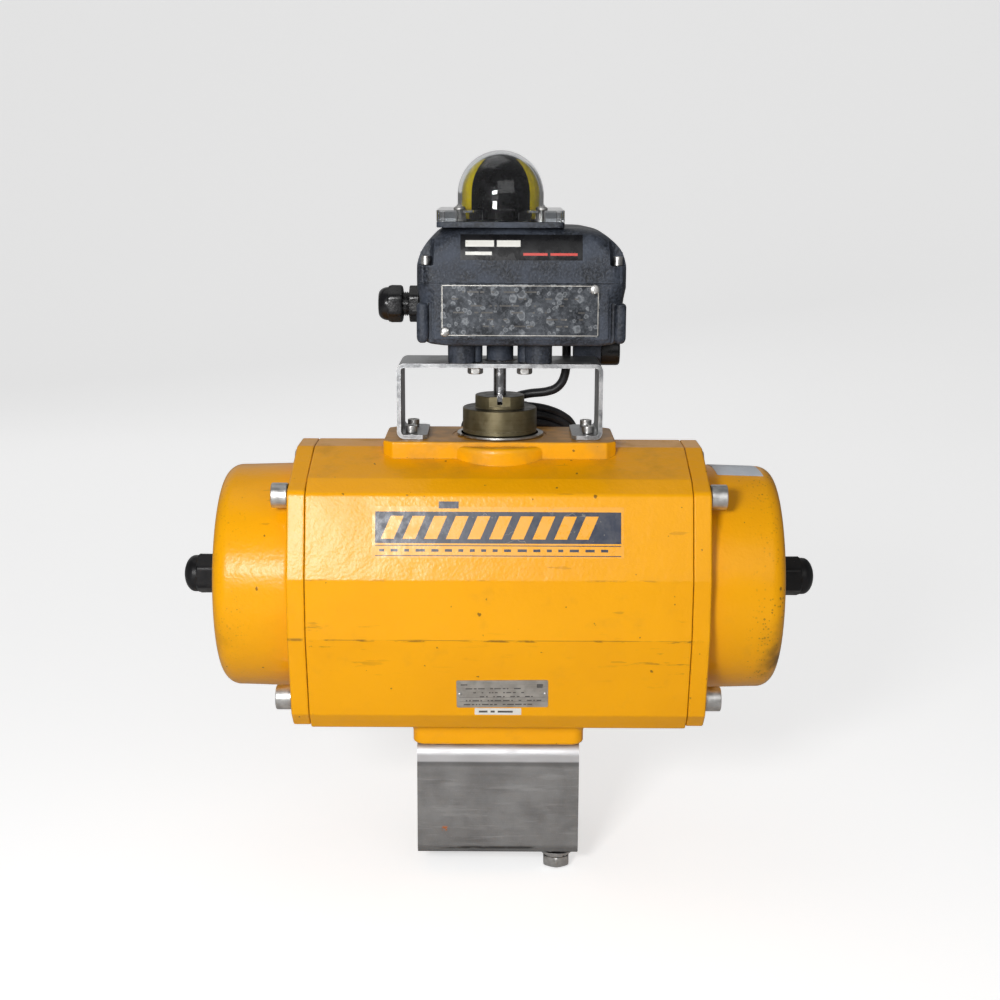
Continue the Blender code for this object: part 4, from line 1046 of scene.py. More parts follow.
def makeCap(side, name, node):
    e = endCap
    outline = bodyOutline(-0.0955, ((0.080, 0.080),), (0.006, 0.006, 0.0025, 0.0025, 0.004, 0.004))
    rings = []
    for x, inset in ((e["flangeIn"], 0.0006), (e["flangeIn"] + 0.0006, 0), (e["flangeOut"] - 0.0012, 0),
                     (e["flangeOut"] - 0.0004, 0.0004), (e["flangeOut"], 0.0012)):
        rings.append([(side * x, *insetPoint(outline, i, inset)) for i in range(len(outline))])
    flange = loft(rings)

    neck, corner, end = e["neck"], e["corner"], e["end"]
    outside = [(neck + 0.0022, 0.1400), (neck + 0.0022, 0.1496), (neck + 0.0006, 0.1501), (neck + 0.0001, 0.1512),
               (neck - 0.0001, 0.1530), (neck - 0.0006, 0.1700), (neck - 0.0011, 0.1870)]
    for i in range(13):
        angle = math.radians(7.5 * i)
        outside.append((e["wall"] - corner * (1 - math.cos(angle)), 0.1935 + corner * math.sin(angle)))
    outside += [(0.0640, 0.20665), (0.0550, 0.20765), (0.0450, 0.20850), (0.0330, 0.20930), (0.0200, 0.20990),
                (0.0165, end), (0.0160, end), (0, end)]
    inside = [(0, 0.13), (e["room"], 0.13), (0.0750, 0.1905), (0.0738, 0.1945), (0.070, 0.1970), (0.060, 0.1995),
              (0.018, 0.1995), (0.018, 0.186), (0.0085, 0.186), (0.0085, 0.225), (0, 0.225)]
    centre = (0, axisHeight)
    cup = lathe([(r, side * x) for r, x in outside], "X", centre, e["segments"])
    room = lathe([(r, side * x) for r, x in inside], "X", centre, e["segments"])
    holes = [drill(housing["boltHole"], *sorted((side * 0.13, side * 0.155)), "X",
                   (y * housing["boltY"], axisHeight + z * housing["boltZ"]), 24) for y, z in fourCorners]
    body = combined(flange, [(cup, "UNION"), (room, "DIFFERENCE")] + [(hole, "DIFFERENCE") for hole in holes])
    piece(name, body, "capPaint", nodes=node, sharp=26)


def socketScrew(name, node, head, face, top, shank, tip, axis, centre):
    # cap screw: chamfered head with a hexagon socket, and a shank
    out = 1 if top > face else -1
    key, rim = head * 0.54, head * 0.09
    depth = top - (top - face) * 0.55
    rows = [(0, depth - out * rim), (key * 0.96, depth, 6), (key, depth + out * rim * 0.3, 6),
            (key, top - out * rim, 6), (key * 1.10, top), (head - rim, top),
            (head - rim * 0.3, top - out * rim * 0.35), (head, top - out * rim * 1.2),
            (head, face + out * rim * 0.8), (head - rim * 0.6, face), (shank, face),
            (shank, tip - (tip - face) * 0.03), (shank * 0.85, tip), (0, tip)]
    bm = lathe(rows, axis, centre, 48)
    piece(name, bm, "plated", nodes=node, sharp=35)


stopCover = {"inner": 8.8 * mm, "flats": 13.5 * mm, "dome": 13.85 * mm, "domeHigh": 8.2 * mm, "foot": 0.2103}


def makeStop(side, name, hand):
    # hexagonal cover with a domed end, hollow over the travel-stop screw
    inner, flats, dome, foot = stopCover["inner"], stopCover["flats"], stopCover["dome"], stopCover["foot"]
    rows = [(0, 0.2365), (inner, 0.2365), (inner, foot), (flats - 0.0005, foot),
            (flats, foot + 0.0006, 6, 0.0150), (flats, 0.2268, 6, 0.0153), (flats, 0.2280, 6, 0.0143),
            (dome, 0.2284), (dome, 0.2306)]
    for i in range(1, 11):
        angle = math.radians(9 * i)
        rows.append((dome * math.cos(angle) if i < 10 else 0, 0.2306 + stopCover["domeHigh"] * math.sin(angle)))
    bm = lathe([(row[0], side * row[1], *row[2:]) for row in rows], "X", (0, axisHeight), 72)
    piece(name, bm, "capPlastic", nodes=f"{hand}_stop_cover", sharp=28)


for side, hand in ((-1, "left"), (1, "right")):
    title = hand.capitalize()
    makeCap(side, f"endCap{title}", f"{hand}_end_cap")
    for i, (y, z) in enumerate(((-1, 1), (1, 1), (-1, -1), (1, -1))):
        low = side * (endCap["flangeOut"] + 0.0003)
        socketScrew(f"capScrew{title}{i + 1}", f"{hand}_cap_bolt_{i + 1}", endCap["boltHead"], low,
                    side * endCap["boltTop"], endCap["boltShank"], side * endCap["boltTip"], "X",
                    (y * housing["boltY"], axisHeight + z * housing["boltZ"]))
    makeStop(side, f"stopCover{title}", hand)
print("end caps made")


# Springs inside the caps: on the actuator they shorten as the pistons part; here each is built once as a fixed
# mesh

spring = {"wire": 5.0 * mm, "radius": 0.048, "turns": 5.5, "low": 0.0856, "high": 0.1939, "wall": 0.1989,
          "travel": 0.0425}


def makeSpring(side, hand):
    s = spring
    steps, around = int(s["turns"] * 40), 14
    rings = []
    for i in range(steps + 1):
        angle = math.tau * s["turns"] * i / steps
        middle = Vector((s["low"] + (s["high"] - s["low"]) * i / steps, s["radius"] * math.cos(angle),
                         s["radius"] * math.sin(angle)))
        outward = Vector((0, math.cos(angle), math.sin(angle)))
        pitch = (s["high"] - s["low"]) / (math.tau * s["turns"] * s["radius"])
        along = Vector((pitch, -math.sin(angle), math.cos(angle))).normalized()
        across = along.cross(outward)
        ring = [middle + s["wire"] * (math.cos(a) * outward + math.sin(a) * across)
                for a in (math.tau * k / around for k in range(around))]
        rings.append([(side * p.x, p.y, axisHeight + p.z) for p in ring])
    made = piece(f"returnSpring{hand.capitalize()}", loft(rings), "spring",
                 nodes=f"{hand}_return_spring", sharp=50)
    made.modifiers.clear()
    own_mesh(made)


makeSpring(-1, "left")
makeSpring(1, "right")


# Drive train on top of the housing

coupler = {"bottom": 0.3125, "drum": 0.0275, "shoulder": 0.3310, "neck": 0.01825, "top": 0.3403, "slot": 2.0 * mm,
           "flat": -0.0165, "flatFoot": 0.3333}


def makeCoupler():
    c = coupler
    e = 0.0005
    rows = [(0, 0.3245), (0.0104, 0.3245), (0.0104, c["bottom"]), (c["drum"] - e, c["bottom"]),
            (c["drum"], c["bottom"] + e), (c["drum"], 0.3152), (c["drum"] - 0.00015, 0.3153),
            (c["drum"] - 0.00015, 0.3156), (c["drum"], 0.3157), (c["drum"], c["shoulder"] - e),
            (c["drum"] - e, c["shoulder"]), (c["neck"] + e, c["shoulder"]), (c["neck"], c["shoulder"] + e),
            (c["neck"], c["top"] - e), (c["neck"] - e, c["top"]), (0, c["top"])]
    drum = lathe(rows, segments=128)
    slot = block((-c["slot"], -0.03, 0.3345), (c["slot"], 0.03, 0.345))
    flat = block((-0.02, -0.03, c["flatFoot"]), (0.02, c["flat"], 0.345))
    piece("shaftCoupler", cut(drum, slot, flat), "bronze", body="drive_train", nodes="shaft_coupler", sharp=28)


stem = {"radius": 4.65 * mm, "low": 0.3398, "high": 0.4715, "chamfer": 0.6 * mm, "tongue": 1.7 * mm}


def makeStem():
    # switch shaft, with the tongue that sits in the coupler's slot
    r, low, high, e = stem["radius"], stem["low"], stem["high"], stem["chamfer"]
    rows = [(0, low), (r - e, low), (r, low + e), (r, high - 0.0007), (r - e, high), (0, high)]
    shaft = lathe(rows, segments=64)
    outline = [(-0.0115, 0.3362), (-0.0105, 0.3352), (0.0105, 0.3352), (0.0115, 0.3362), (0.0115, 0.3398),
               (0.0055, 0.3412), (-0.0055, 0.3412), (-0.0115, 0.3398)]
    tongue = prism(outline, "X", -stem["tongue"], stem["tongue"])
    piece("switchShaft", joined(shaft, tongue), "machined", body="switch_train", nodes="switch_shaft", sharp=30)


clip = {"inner": 0.0285, "outer": 0.0325, "low": 0.3106, "high": 0.3122, "mouth": (201, 213), "eyes": 0.0281}


def makeClip():
    # snap ring, narrow at its mouth, with an ear and a plier hole at each end
    c = clip
    start, end = math.radians(c["mouth"][1]), math.radians(c["mouth"][0] + 360)
    outer, inner = [], []
    steps = 120
    for i in range(steps + 1):
        t = i / steps
        angle = start + (end - start) * t
        slim = 0.0012 * (1 - math.sin(math.pi * t)) ** 1.5
        ear = 0.0
        for near in (t, 1 - t):
            ear = max(ear, 0.0030 * max(0.0, 1 - (near / 0.028) ** 2))
        outer.append(((c["outer"] - slim) * math.cos(angle), (c["outer"] - slim) * math.sin(angle)))
        inner.append(((c["inner"] - ear) * math.cos(angle), (c["inner"] - ear) * math.sin(angle)))
    bm = prism(outer + inner[::-1], "Z", c["low"], c["high"])
    tools = []
    for angle in (start + 0.045, end - 0.045):
        eye = (c["eyes"] * math.cos(angle), c["eyes"] * math.sin(angle))
        tools.append(drill(0.0010, 0.305, 0.318, centre=eye, segments=20))
    piece("snapRing", cut(bm, *tools), "plated", nodes="circlip", sharp=35,
          bevel=(0.0003, 2, 50))


makeCoupler()
makeStem()
makeClip()
print("drive train made")


# Valve bracket and its fasteners

bracket = {"half": 0.060, "wall": 5.0 * mm, "top": 0.0877, "bend": 9.0 * mm, "edge": 0.35 * mm, "bore": 0.031,
           "hole": 6.7 * mm}


def makeBracket():
    b = bracket
    outer = rectangle(-b["half"], 0, b["half"], b["top"], b["bend"], 9)
    w = b["wall"]
    inner = rectangle(w - b["half"], w, b["half"] - w, b["top"] - w, 0.002, 9)
    rings = [[(x, y, z) for y, z in outline] for outline, x in ((outer, -b["half"]), (outer, b["half"]),
                                                                (inner, b["half"]), (inner, -b["half"]))]
    body = loft(rings, loop=True)
    tools = [drill(b["bore"], -0.01, 0.10, segments=72)]
    for x, y in fourCorners:
        centre = (x * housing["flange"], y * housing["flange"])
        tools.append(drill(b["hole"], -0.01, 0.10, centre=centre, segments=36))
    piece("valveBracket", cut(body, *tools), "sheet", nodes="valve_bracket", sharp=30,
          bevel=(b["edge"], 2, 60))


def hexRows(flats, low, high, up):
    # hexagon between two heights, its corners turned off at the end that up points to
    half, point = flats / 2, flats / 2 / math.cos(math.pi / 6)
    end, out = (high, 1) if up else (low, -1)
    other = low if up else high
    rows = [(half, other, 6, point - 0.0001)]
    rows += [(half, end - out * 0.115 * flats, 6, point), (half, end - out * 0.085 * flats, 6, point * 0.985),
             (half, end - out * 0.05 * flats, 6, point * 0.955),
             (half, end - out * 0.02 * flats, 6, point * 0.915), (half * 0.965, end)]
    return rows


def hexBolt(name, node, flats, headLow, headHigh, shank, tip, centre):
    # hexagon head, shank with thread towards its tip
    up = tip < headLow
    face, out = (headLow, -1) if up else (headHigh, 1)
    head = hexRows(flats, headLow, headHigh, up)
    rows = [(0, head[-1][1])] + head[::-1] + [(shank, face)]
    span = abs(tip - face)
    pitch, threaded = shank / 3.4, min(span * 0.7, 0.016)
    start = span - threaded
    rows.append((shank, face + out * start))
    turns = int(threaded / pitch)
    for i in range(turns * 2):
        rows.append((shank * (0.88 if i % 2 == 0 else 1.0), face + out * (start + pitch * (0.5 + i * 0.5))))
    rows += [(shank * 0.84, tip), (0, tip)]
    bm = lathe(rows, "Z", centre, 48, turn=math.pi / 2)
    piece(name, bm, "plated", nodes=node, sharp=28)


def washer(name, node, inner, outer, low, high, centre, gap=None):
    e = min(0.0003, (high - low) / 4)
    rows = [(inner, low + e), (inner + e, low), (outer - e, low), (outer, low + e), (outer, high - e),
            (outer - e, high), (inner + e, high), (inner, high - e)]
    bm = lathe(rows, "Z", centre, 64, loop=True)
    if gap:
        a = math.radians(gap)
        slit = [(centre[0] + r * math.cos(a + s), centre[1] + r * math.sin(a + s))
                for r, s in ((0.004, -0.16), (0.014, -0.02), (0.014, 0.10), (0.004, 0.04))]
        bm = cut(bm, prism(slit, "Z", low - 0.001, high + 0.001))
    piece(name, bm, "plated", nodes=node, sharp=35)


def makeNut(name, node, flats, low, high, bore, centre):
    half, point = flats / 2, flats / 2 / math.cos(math.pi / 6)
    c = flats * 0.05
    rows = [(bore, low + 0.0008), (bore * 1.14, low), (half * 0.955, low),
            (half, low + c * 0.35, 6, point * 0.925), (half, low + c, 6, point * 0.965),
            (half, low + c * 2, 6, point * 0.99), (half, low + c * 2.6, 6, point),
            (half, high - c * 2.6, 6, point), (half, high - c * 2, 6, point * 0.99),
            (half, high - c, 6, point * 0.965), (half, high - c * 0.35, 6, point * 0.925), (half * 0.955, high),
            (bore * 1.14, high), (bore, high - 0.0008)]
    bm = lathe(rows, "Z", centre, 48, loop=True)
    piece(name, bm, "plated", nodes=node, sharp=28)


def makeBracketFasteners():
    f = housing["flange"]
    headTop = bracket["top"] - bracket["wall"] - 0.0003
    for i, (x, y) in enumerate(numberedCorners):
        hexBolt(f"bracketBolt{i + 1}", f"bracket_bolt_{i + 1}", 0.019, headTop - 0.0075, headTop, 0.006, 0.106,
                (x * f, y * f))
    at = (f, -f)
    hexBolt("valveBolt", "valve_bolt", 0.019, 0.0053, 0.0128, 0.006, -0.0134, at)
    washer("valveWasher", "valve_washer", 0.0065, 0.012, -0.0023, -0.0003, at)
    washer("valveSpringWasher", "valve_spring_washer", 0.0065, 0.0102, -0.0041, -0.0026, at, gap=-60)
    makeNut("valveNut", "valve_nut", 0.019, -0.0124, -0.0044, 0.0065, at)


makeBracket()
makeBracketFasteners()
print("valve bracket made")


# Switch bracket

bridgePlate = {"halfX": 0.075, "halfY": 0.027, "foot": 0.3106, "top": 0.366, "sheet": 3.0 * mm, "bend": 5.5 * mm,
               "toe": 0.053, "boltX": 18 * mm, "boltY": 15 * mm}


def makeBridge():
    b = bridgePlate
    x, s = b["halfX"], b["sheet"]
    right = [(x, b["top"]), (x, b["foot"]), (b["toe"], b["foot"]), (b["toe"], b["foot"] + s),
             (x - s, b["foot"] + s), (x - s, b["top"] - s)]
    outline = right + [(-a, z) for a, z in reversed(right)]
    bend, inside = b["bend"], b["bend"] - s
    radii = [bend, bend, 0, 0, inside, inside, inside, inside, 0, 0, bend, bend]
    body = prism(filleted(outline, radii, 11), "Y", -b["halfY"], b["halfY"])
    tools = [drill(0.013, 0.355, 0.375, segments=64)]
    for sx, sy in fourCorners:
        tools.append(drill(0.0029, 0.30, 0.32, centre=(sx * housing["screwX"], sy * housing["screwY"])))
        tools.append(drill(0.0034, 0.355, 0.375, centre=(sx * b["boltX"], sy * b["boltY"])))
        clipped = [(sx * 0.050, sy * 0.020), (sx * 0.059, sy * 0.030), (sx * 0.050, sy * 0.030)]
        tools.append(prism(clipped, "Z", 0.305, 0.320))
    top = b["top"]
    pit = [(0, top - 0.0007), (0.0005, top - 0.0002), (0.0007, top + 0.001), (0, top + 0.001)]
    for i in range(3):
        for y in (-0.0205, -0.0165):
            tools.append(lathe(pit, "Z", (0.0612 + 0.0022 * i, y), 12))
    piece("switchBridge", cut(body, *tools), "galvanised", nodes="accessory_bracket",
          sharp=30, bevel=(0.0003, 2, 60))
    for i, (sx, sy) in enumerate(numberedCorners):
        face = b["foot"] + s + 0.0003
        socketScrew(f"bridgeScrew{i + 1}", f"accessory_screw_{i + 1}", 0.0044, face, face + 0.0052, 0.0025,
                    0.2985, "Z", (sx * housing["screwX"], sy * housing["screwY"]))
    for i, (sx, sy) in enumerate(numberedCorners):
        high = b["top"] - s - 0.0002
        centre = (sx * b["boltX"], sy * b["boltY"])
        washer(f"boxWasher{i + 1}", (), 0.0033, 0.0062, high - 0.0012, high, centre)
        hexBolt(f"boxBolt{i + 1}", (), 0.010, high - 0.0053, high - 0.0013, 0.0029, 0.3800, centre)


makeBridge()
print("switch bracket made")


# Switch box

box = {"low": (-0.059, -0.052), "high": (0.089, 0.055), "floor": 0.381, "split": 0.426, "top": 0.4637,
       "wall": 0.007, "postX": 8.2 * mm, "postY": 12 * mm, "panel": (-0.0470, 0.0765), "screwIn": 6.5 * mm}
coverRows = [  # inset front and back, height, corner radius, inset left, inset right
    (0.0, 0.4260, 0.012, 0.0, 0.0), (0.0, 0.4330, 0.012, 0.0, 0.0), (0.0, 0.4400, 0.012, 0.0005, 0.0005),
    (0.0010, 0.4490, 0.013, 0.0040, 0.0040), (0.0035, 0.4570, 0.015, 0.0100, 0.0120),
    (0.0070, 0.4610, 0.017, 0.0150, 0.0190), (0.0120, 0.4637, 0.018, 0.0220, 0.0300)]


def smoothRows(rows, per):
    ends = [rows[0]] + list(rows) + [rows[-1]]
    made = []
    for a, b, c, d in zip(ends, ends[1:], ends[2:], ends[3:]):
        for i in range(per):
            t = i / per
            made.append(tuple(0.5 * (2 * q + (r - p) * t + (2 * p - 5 * q + 4 * r - s) * t ** 2
                                     + (3 * q - p - 3 * r + s) * t ** 3) for p, q, r, s in zip(a, b, c, d)))
    return made + [tuple(rows[-1])]


coverSkin = smoothRows(coverRows, 6)


def coverInset(height):
    for a, b in zip(coverSkin, coverSkin[1:]):
        if a[1] <= height <= b[1]:
            return a[0] + (b[0] - a[0]) * (height - a[1]) / max(1e-9, b[1] - a[1])
    return coverSkin[-1][0]


def boxRing(inset, height, radius, left, right):
    x0, y0 = box["low"]
    x1, y1 = box["high"]
    return [(x, y, height) for x, y in rectangle(x0 + left, y0 + inset, x1 - right, y1 - inset, radius, 8)]


def boxCorners(reach):
    for x in (box["low"][0] + reach, box["high"][0] - reach):
        for y in (box["low"][1] + reach, box["high"][1] - reach):
            yield x, y


def makeCover():
    room = box["wall"]
    body = loft([boxRing(*row) for row in coverSkin])
    lid = loft([boxRing(room, 0.42, 0.014, room, room), boxRing(room, 0.44, 0.014, room, room),
                boxRing(0.014, 0.457, 0.014, 0.019, 0.024)])
    body = cut(body, lid)
    posts = [block((x - 0.0075, y - 0.0075, box["split"]), (x + 0.0075, y + 0.0075, 0.447), 0.002)
             for x, y in boxCorners(0.010)]
    body = joined(body, *posts)
    tools = []
    for x, y in boxCorners(0):
        rings = [[(px, py, z) for px, py in rectangle(x - s, y - s, x + s, y + s, r)]
                 for s, r, z in ((0.0108, 0.0044, 0.4380), (0.0117, 0.0048, 0.4384), (0.0121, 0.0050, 0.4394),
                                 (0.0130, 0.0055, 0.4600), (0.0133, 0.0055, 0.4700))]
        tools.append(loft(rings))
    for x, y in boxCorners(box["screwIn"]):
        tools.append(drill(0.0018, 0.425, 0.445, centre=(x, y), segments=20))
    tools.append(drill(0.0075, 0.455, 0.47, segments=48))
    piece("boxCover", cut(body, *tools), "casting", nodes="switch_box_cover", sharp=32)
    for i, (x, y) in enumerate(boxCorners(box["screwIn"])):
        socketScrew(f"coverScrew{i + 1}", (), 0.0033, 0.4383, 0.4445, 0.0016, 0.4270, "Z", (x, y))


def makeBase():
    x0, y0 = box["low"]
    x1, y1 = box["high"]
    split = box["split"] - 0.0003
    under = [(0.0135, 0.3810, 0.010, 0.0200, 0.0200), (0.0075, 0.3812, 0.011, 0.0140, 0.0140),
             (0.0042, 0.3822, 0.012, 0.0085, 0.0085), (0.0028, 0.3840, 0.012, 0.0048, 0.0048),
             (0.0022, 0.3870, 0.012, 0.0028, 0.0028), (0.0020, 0.3900, 0.012, 0.0022, 0.0022),
             (0.0020, 0.4100, 0.012, 0.0020, 0.0020), (0.0014, 0.4150, 0.012, 0.0014, 0.0014),
             (0.0004, 0.4205, 0.012, 0.0004, 0.0004), (0.0, 0.4225, 0.012, 0.0, 0.0),
             (0.0, split, 0.012, 0.0, 0.0)]
    body = loft([boxRing(*row) for row in under])
    adds = []
    for sx, x in ((1, x0), (-1, x1)):
        for sy, y in ((1, y0), (-1, y1)):
            # corner post with a rounded foot and a sloping shelf on top
            cx, cy = sorted((x, x + sx * box["postX"])), sorted((y, y + sy * box["postY"]))
            rings = []
            for shrink, z in ((0.0022, 0.3836), (0.0009, 0.3846), (0.0002, 0.3862), (0, 0.3880), (0, 0.4095),
                              (0.0004, 0.4108), (0.0016, 0.4116)):
                rings.append([(px, py, z) for px, py in rectangle(cx[0] + shrink, cy[0] + shrink, cx[1] - shrink,
                                                                  cy[1] - shrink, 0.0035)])
            adds.append(loft(rings))
    # raised panels on the front and the back
    for y in (y0, y1):
        out = 1 if y == y0 else -1
        rings = []
        for shrink, depth in ((0.0012, 0.0), (0.0, 0.0006), (0.0, 0.004)):
            outline = rectangle(box["panel"][0] + shrink, 0.3862 + shrink, box["panel"][1] - shrink,
                                split - shrink * 0.3, 0.0020)
            rings.append([(x, y + out * depth, z) for x, z in outline])
        adds.append(loft(rings))
    foot = 0.3663
    for sx, sy in fourCorners:
        adds.append(lathe([(0.0093, foot), (0.0098, foot + 0.0005), (0.0099, 0.378), (0.0108, 0.384)],
                          "Z", (sx * 0.028, sy * 0.020), 40))
        adds.append(lathe([(0.0046, foot), (0.0049, foot + 0.0004), (0.0050, 0.384)], "Z",
                          (sx * bridgePlate["boltX"], sy * bridgePlate["boltY"]), 28))
    adds.append(lathe([(0.0094, foot), (0.0099, foot + 0.0005), (0.0100, 0.384)], "Z", (0, 0), 48))
    adds.append(lathe([(0.0125, 0.0560), (0.0125, 0.0755), (0.0119, 0.0765)], "X", (0.040, 0.3705), 48))
    body = joined(body, *adds)
    room = box["wall"]
    inside = loft([boxRing(room, box["floor"] + 0.006, 0.014, room, room),
                   boxRing(room, 0.44, 0.014, room, room)])
    tools = [inside, drill(0.0053, 0.36, 0.40, segments=40), drill(0.0085, -0.07, -0.045, "X", (0, 0.407), 48),
             drill(0.0062, 0.37, 0.39, centre=cable["exit"][:2])]
    for sx, x in ((1, x0), (-1, x1)):
        for sy, y in ((1, y0), (-1, y1)):
            # groove between a corner post and the panel
            gx, gy = sorted((x + sx * 0.0083, x + sx * 0.0108)), sorted((y - sy * 0.002, y + sy * 0.0052))
            tools.append(block((gx[0], gy[0], 0.3800), (gx[1], gy[1], 0.4118), 0.0006))
    groove = []
    for inset, height in ((0.0018, split - 0.002), (0.0042, split - 0.002), (0.0042, 0.43), (0.0018, 0.43)):
        groove.append(boxRing(inset, height, 0.012 - inset, inset, inset))
    tools.append(loft(groove, loop=True))
    piece("boxBase", cut(body, *tools), "casting", nodes="switch_box_base", sharp=32)


makeCover()
makeBase()
print("switch box made")


# Dome and indicator

dome = {"half": 0.045, "baseLow": 0.4640, "baseHigh": 0.4680, "foot": 0.4683, "flangeTop": 0.4760,
        "radius": 0.03115, "top": 0.5176, "wall": 2.2 * mm, "rotor": 0.0282, "lug": 0.0245, "tabHalf": 8.8 * mm,
        "screwX": 0.0290, "screwY": 0.0355}


def arcRows(radius, shoulder, steps):
    angles = [math.pi / 2 * i / steps for i in range(steps)]
    return [(radius * math.cos(a), shoulder + radius * math.sin(a)) for a in angles]


def makeDome():
    d = dome
    h = d["half"]
    base = prism(rectangle(-h, -h, h, h, 0.004), "Z", d["baseLow"], d["baseHigh"])
    piece("domeBase", cut(base, drill(0.0075, 0.46, 0.48, segments=48)), "casting", nodes="dome_base", sharp=30,
          bevel=(0.0004, 2, 60))
    shoulder, foot, lid = d["top"] - d["radius"], d["foot"], d["flangeTop"]
    plate = prism(rectangle(-h, -h, h, h, 0.004), "Z", lid - 0.0016, lid)
    adds = [lathe([(0.0335, foot), (0.0335, lid - 0.0005)], segments=128)]
    for sx, sy in fourCorners:
        x, y = sorted((sx * d["lug"], sx * h)), sorted((sy * d["lug"], sy * h))
        adds.append(block((x[0], y[0], foot), (x[1], y[1], lid - 0.0005), 0.004))
    for s in (-1, 1):
        span = sorted((s * 0.030, s * h))
        tab = d["tabHalf"]
        adds.append(block((-tab, span[0], foot), (tab, span[1], lid - 0.0005), 0.0012))
        adds.append(block((span[0], -tab, foot), (span[1], tab, lid - 0.0005), 0.0012))
        for t in (-1, 1):
            # light ribs between the tabs and the corner lugs
            x = sorted((t * 0.0125, t * 0.0220))
            y = sorted((s * 0.0300, s * 0.0400))
            adds.append(block((x[0], y[0], foot), (x[1], y[1], lid - 0.0005), 0.0008))
            adds.append(block((y[0], x[0], foot), (y[1], x[1], lid - 0.0005), 0.0008))
    shell = [(d["radius"] + 0.0006, lid - 0.0005), (d["radius"], lid + 0.0008)] + arcRows(d["radius"], shoulder,
                                                                                          20)
    adds.append(lathe(shell + [(0, d["top"])], segments=128))
    inner = d["radius"] - d["wall"]
    room = [(inner, foot - 0.01)] + arcRows(inner, shoulder, 20) + [(0, shoulder + inner)]
    holes = [drill(0.0024, foot - 0.01, lid + 0.01, centre=(sx * d["screwX"], sy * d["screwY"]), segments=24)
             for sx, sy in fourCorners]
    clear = combined(plate, [(a, "UNION") for a in adds] + [(lathe(room, segments=128), "DIFFERENCE")]
                     + [(hole, "DIFFERENCE") for hole in holes])
    piece("clearDome", clear, "clear", nodes="clear_dome", sharp=28)

    r = d["rotor"]
    rotor = [(0, 0.4723), (0.00505, 0.4723), (0.00505, 0.4690), (r - 0.0005, 0.4690), (r, 0.4695)]
    rotor += arcRows(r, shoulder, 20) + [(0, shoulder + r)]
    piece("indicatorRotor", lathe(rotor, segments=128), "indicator", body="switch_train",
          nodes="position_indicator", sharp=34)
    for i, (sx, sy) in enumerate(numberedCorners):
        panScrew(f"domeScrew{i + 1}", (sx * d["screwX"], sy * d["screwY"]), lid + 0.0001, 0.0042, 0.0030, 0.4655)


def panScrew(name, centre, face, head, height, tip):
    # cross-recess pan head
    rows = [(0, face + height)]
    for i in range(1, 9):
        angle = math.radians(90 - 11 * i)
        rows.append((head * math.cos(angle), face + height * (0.25 + 0.75 * math.sin(angle))))
    rows += [(head, face + height * 0.2), (head * 0.97, face), (0.0022, face), (0.0022, tip), (0, tip)]
    bm = lathe(rows, "Z", centre, 40)
    x, y = centre
    w, l = head * 0.13, head * 0.55
    slots = [block((x - w, y - l, face + height * 0.45), (x + w, y + l, face + height * 1.2)),
             block((x - l, y - w, face + height * 0.45), (x + l, y + w, face + height * 1.2))]
    piece(name, cut(bm, *slots), "plated", sharp=30)


makeDome()
print("dome made")


# Cable gland, blanking plug and grommet

gland = {"centre": (0, 0.407), "thread": 7.8 * mm, "bore": 5.5 * mm}
plug = {"centre": (0.040, 0.3690), "radius": 11.5 * mm, "low": 0.0768, "high": 0.0910}
grommet = {"clearance": 0.2 * mm, "flange": 6.8 * mm, "low": 0.3725, "high": 0.3862}


def makeGland():
    centre, thread, bore = gland["centre"], gland["thread"], gland["bore"]
    body = [(bore, -0.0480), (thread, -0.0480), (thread, -0.0593), (0.0113, -0.0593),
            (0.0120, -0.0598, 6, 0.0134), (0.0120, -0.0659, 6, 0.0134), (0.0117, -0.0665, 6, 0.0128),
            (0.0090, -0.0668)]
    for i in range(3):
        at = -0.0672 - 0.0014 * i
        body += [(0.0080, at), (0.0080, at - 0.0003), (0.0089, at - 0.0006), (0.0089, at - 0.0010)]
    body += [(0.0086, -0.0765), (bore, -0.0765)]
    piece("glandBody", lathe(body, "X", centre, 72, loop=True), "blackPlastic", nodes="cable_gland", sharp=30)
    nut = [(0.0092, -0.0712), (0.0112, -0.0712), (0.0119, -0.0716, 6, 0.0128), (0.0124, -0.0728, 6, 0.0136),
           (0.0124, -0.0795, 6, 0.0137), (0.0122, -0.0815, 6, 0.0131)]
    for i in range(9):
        angle = math.radians(10 * i)
        nut.append((0.0070 + 0.0052 * math.cos(angle), -0.0822 - 0.0070 * math.sin(angle)))
    nut += [(0.0060, -0.0892), (bore, -0.0887), (bore, -0.0772), (0.0092, -0.0772)]
    piece("glandNut", lathe(nut, "X", centre, 72, loop=True), "blackPlastic", nodes="gland_nut", sharp=30)


def makePlug():
    r, low, high = plug["radius"], plug["low"], plug["high"]
    rows = [(0, low), (r - 0.0005, low), (r, low + 0.0005), (r, high - 0.0020), (r - 0.0004, high - 0.0008),
            (r - 0.0013, high), (0.0060, high), (0.0050, high), (0.0047, high - 0.0005), (0, high - 0.0005)]
    body = lathe(rows, "X", plug["centre"], 56)
    piece("blankingPlug", body, "blackPlastic", nodes="blanking_plug", sharp=32)


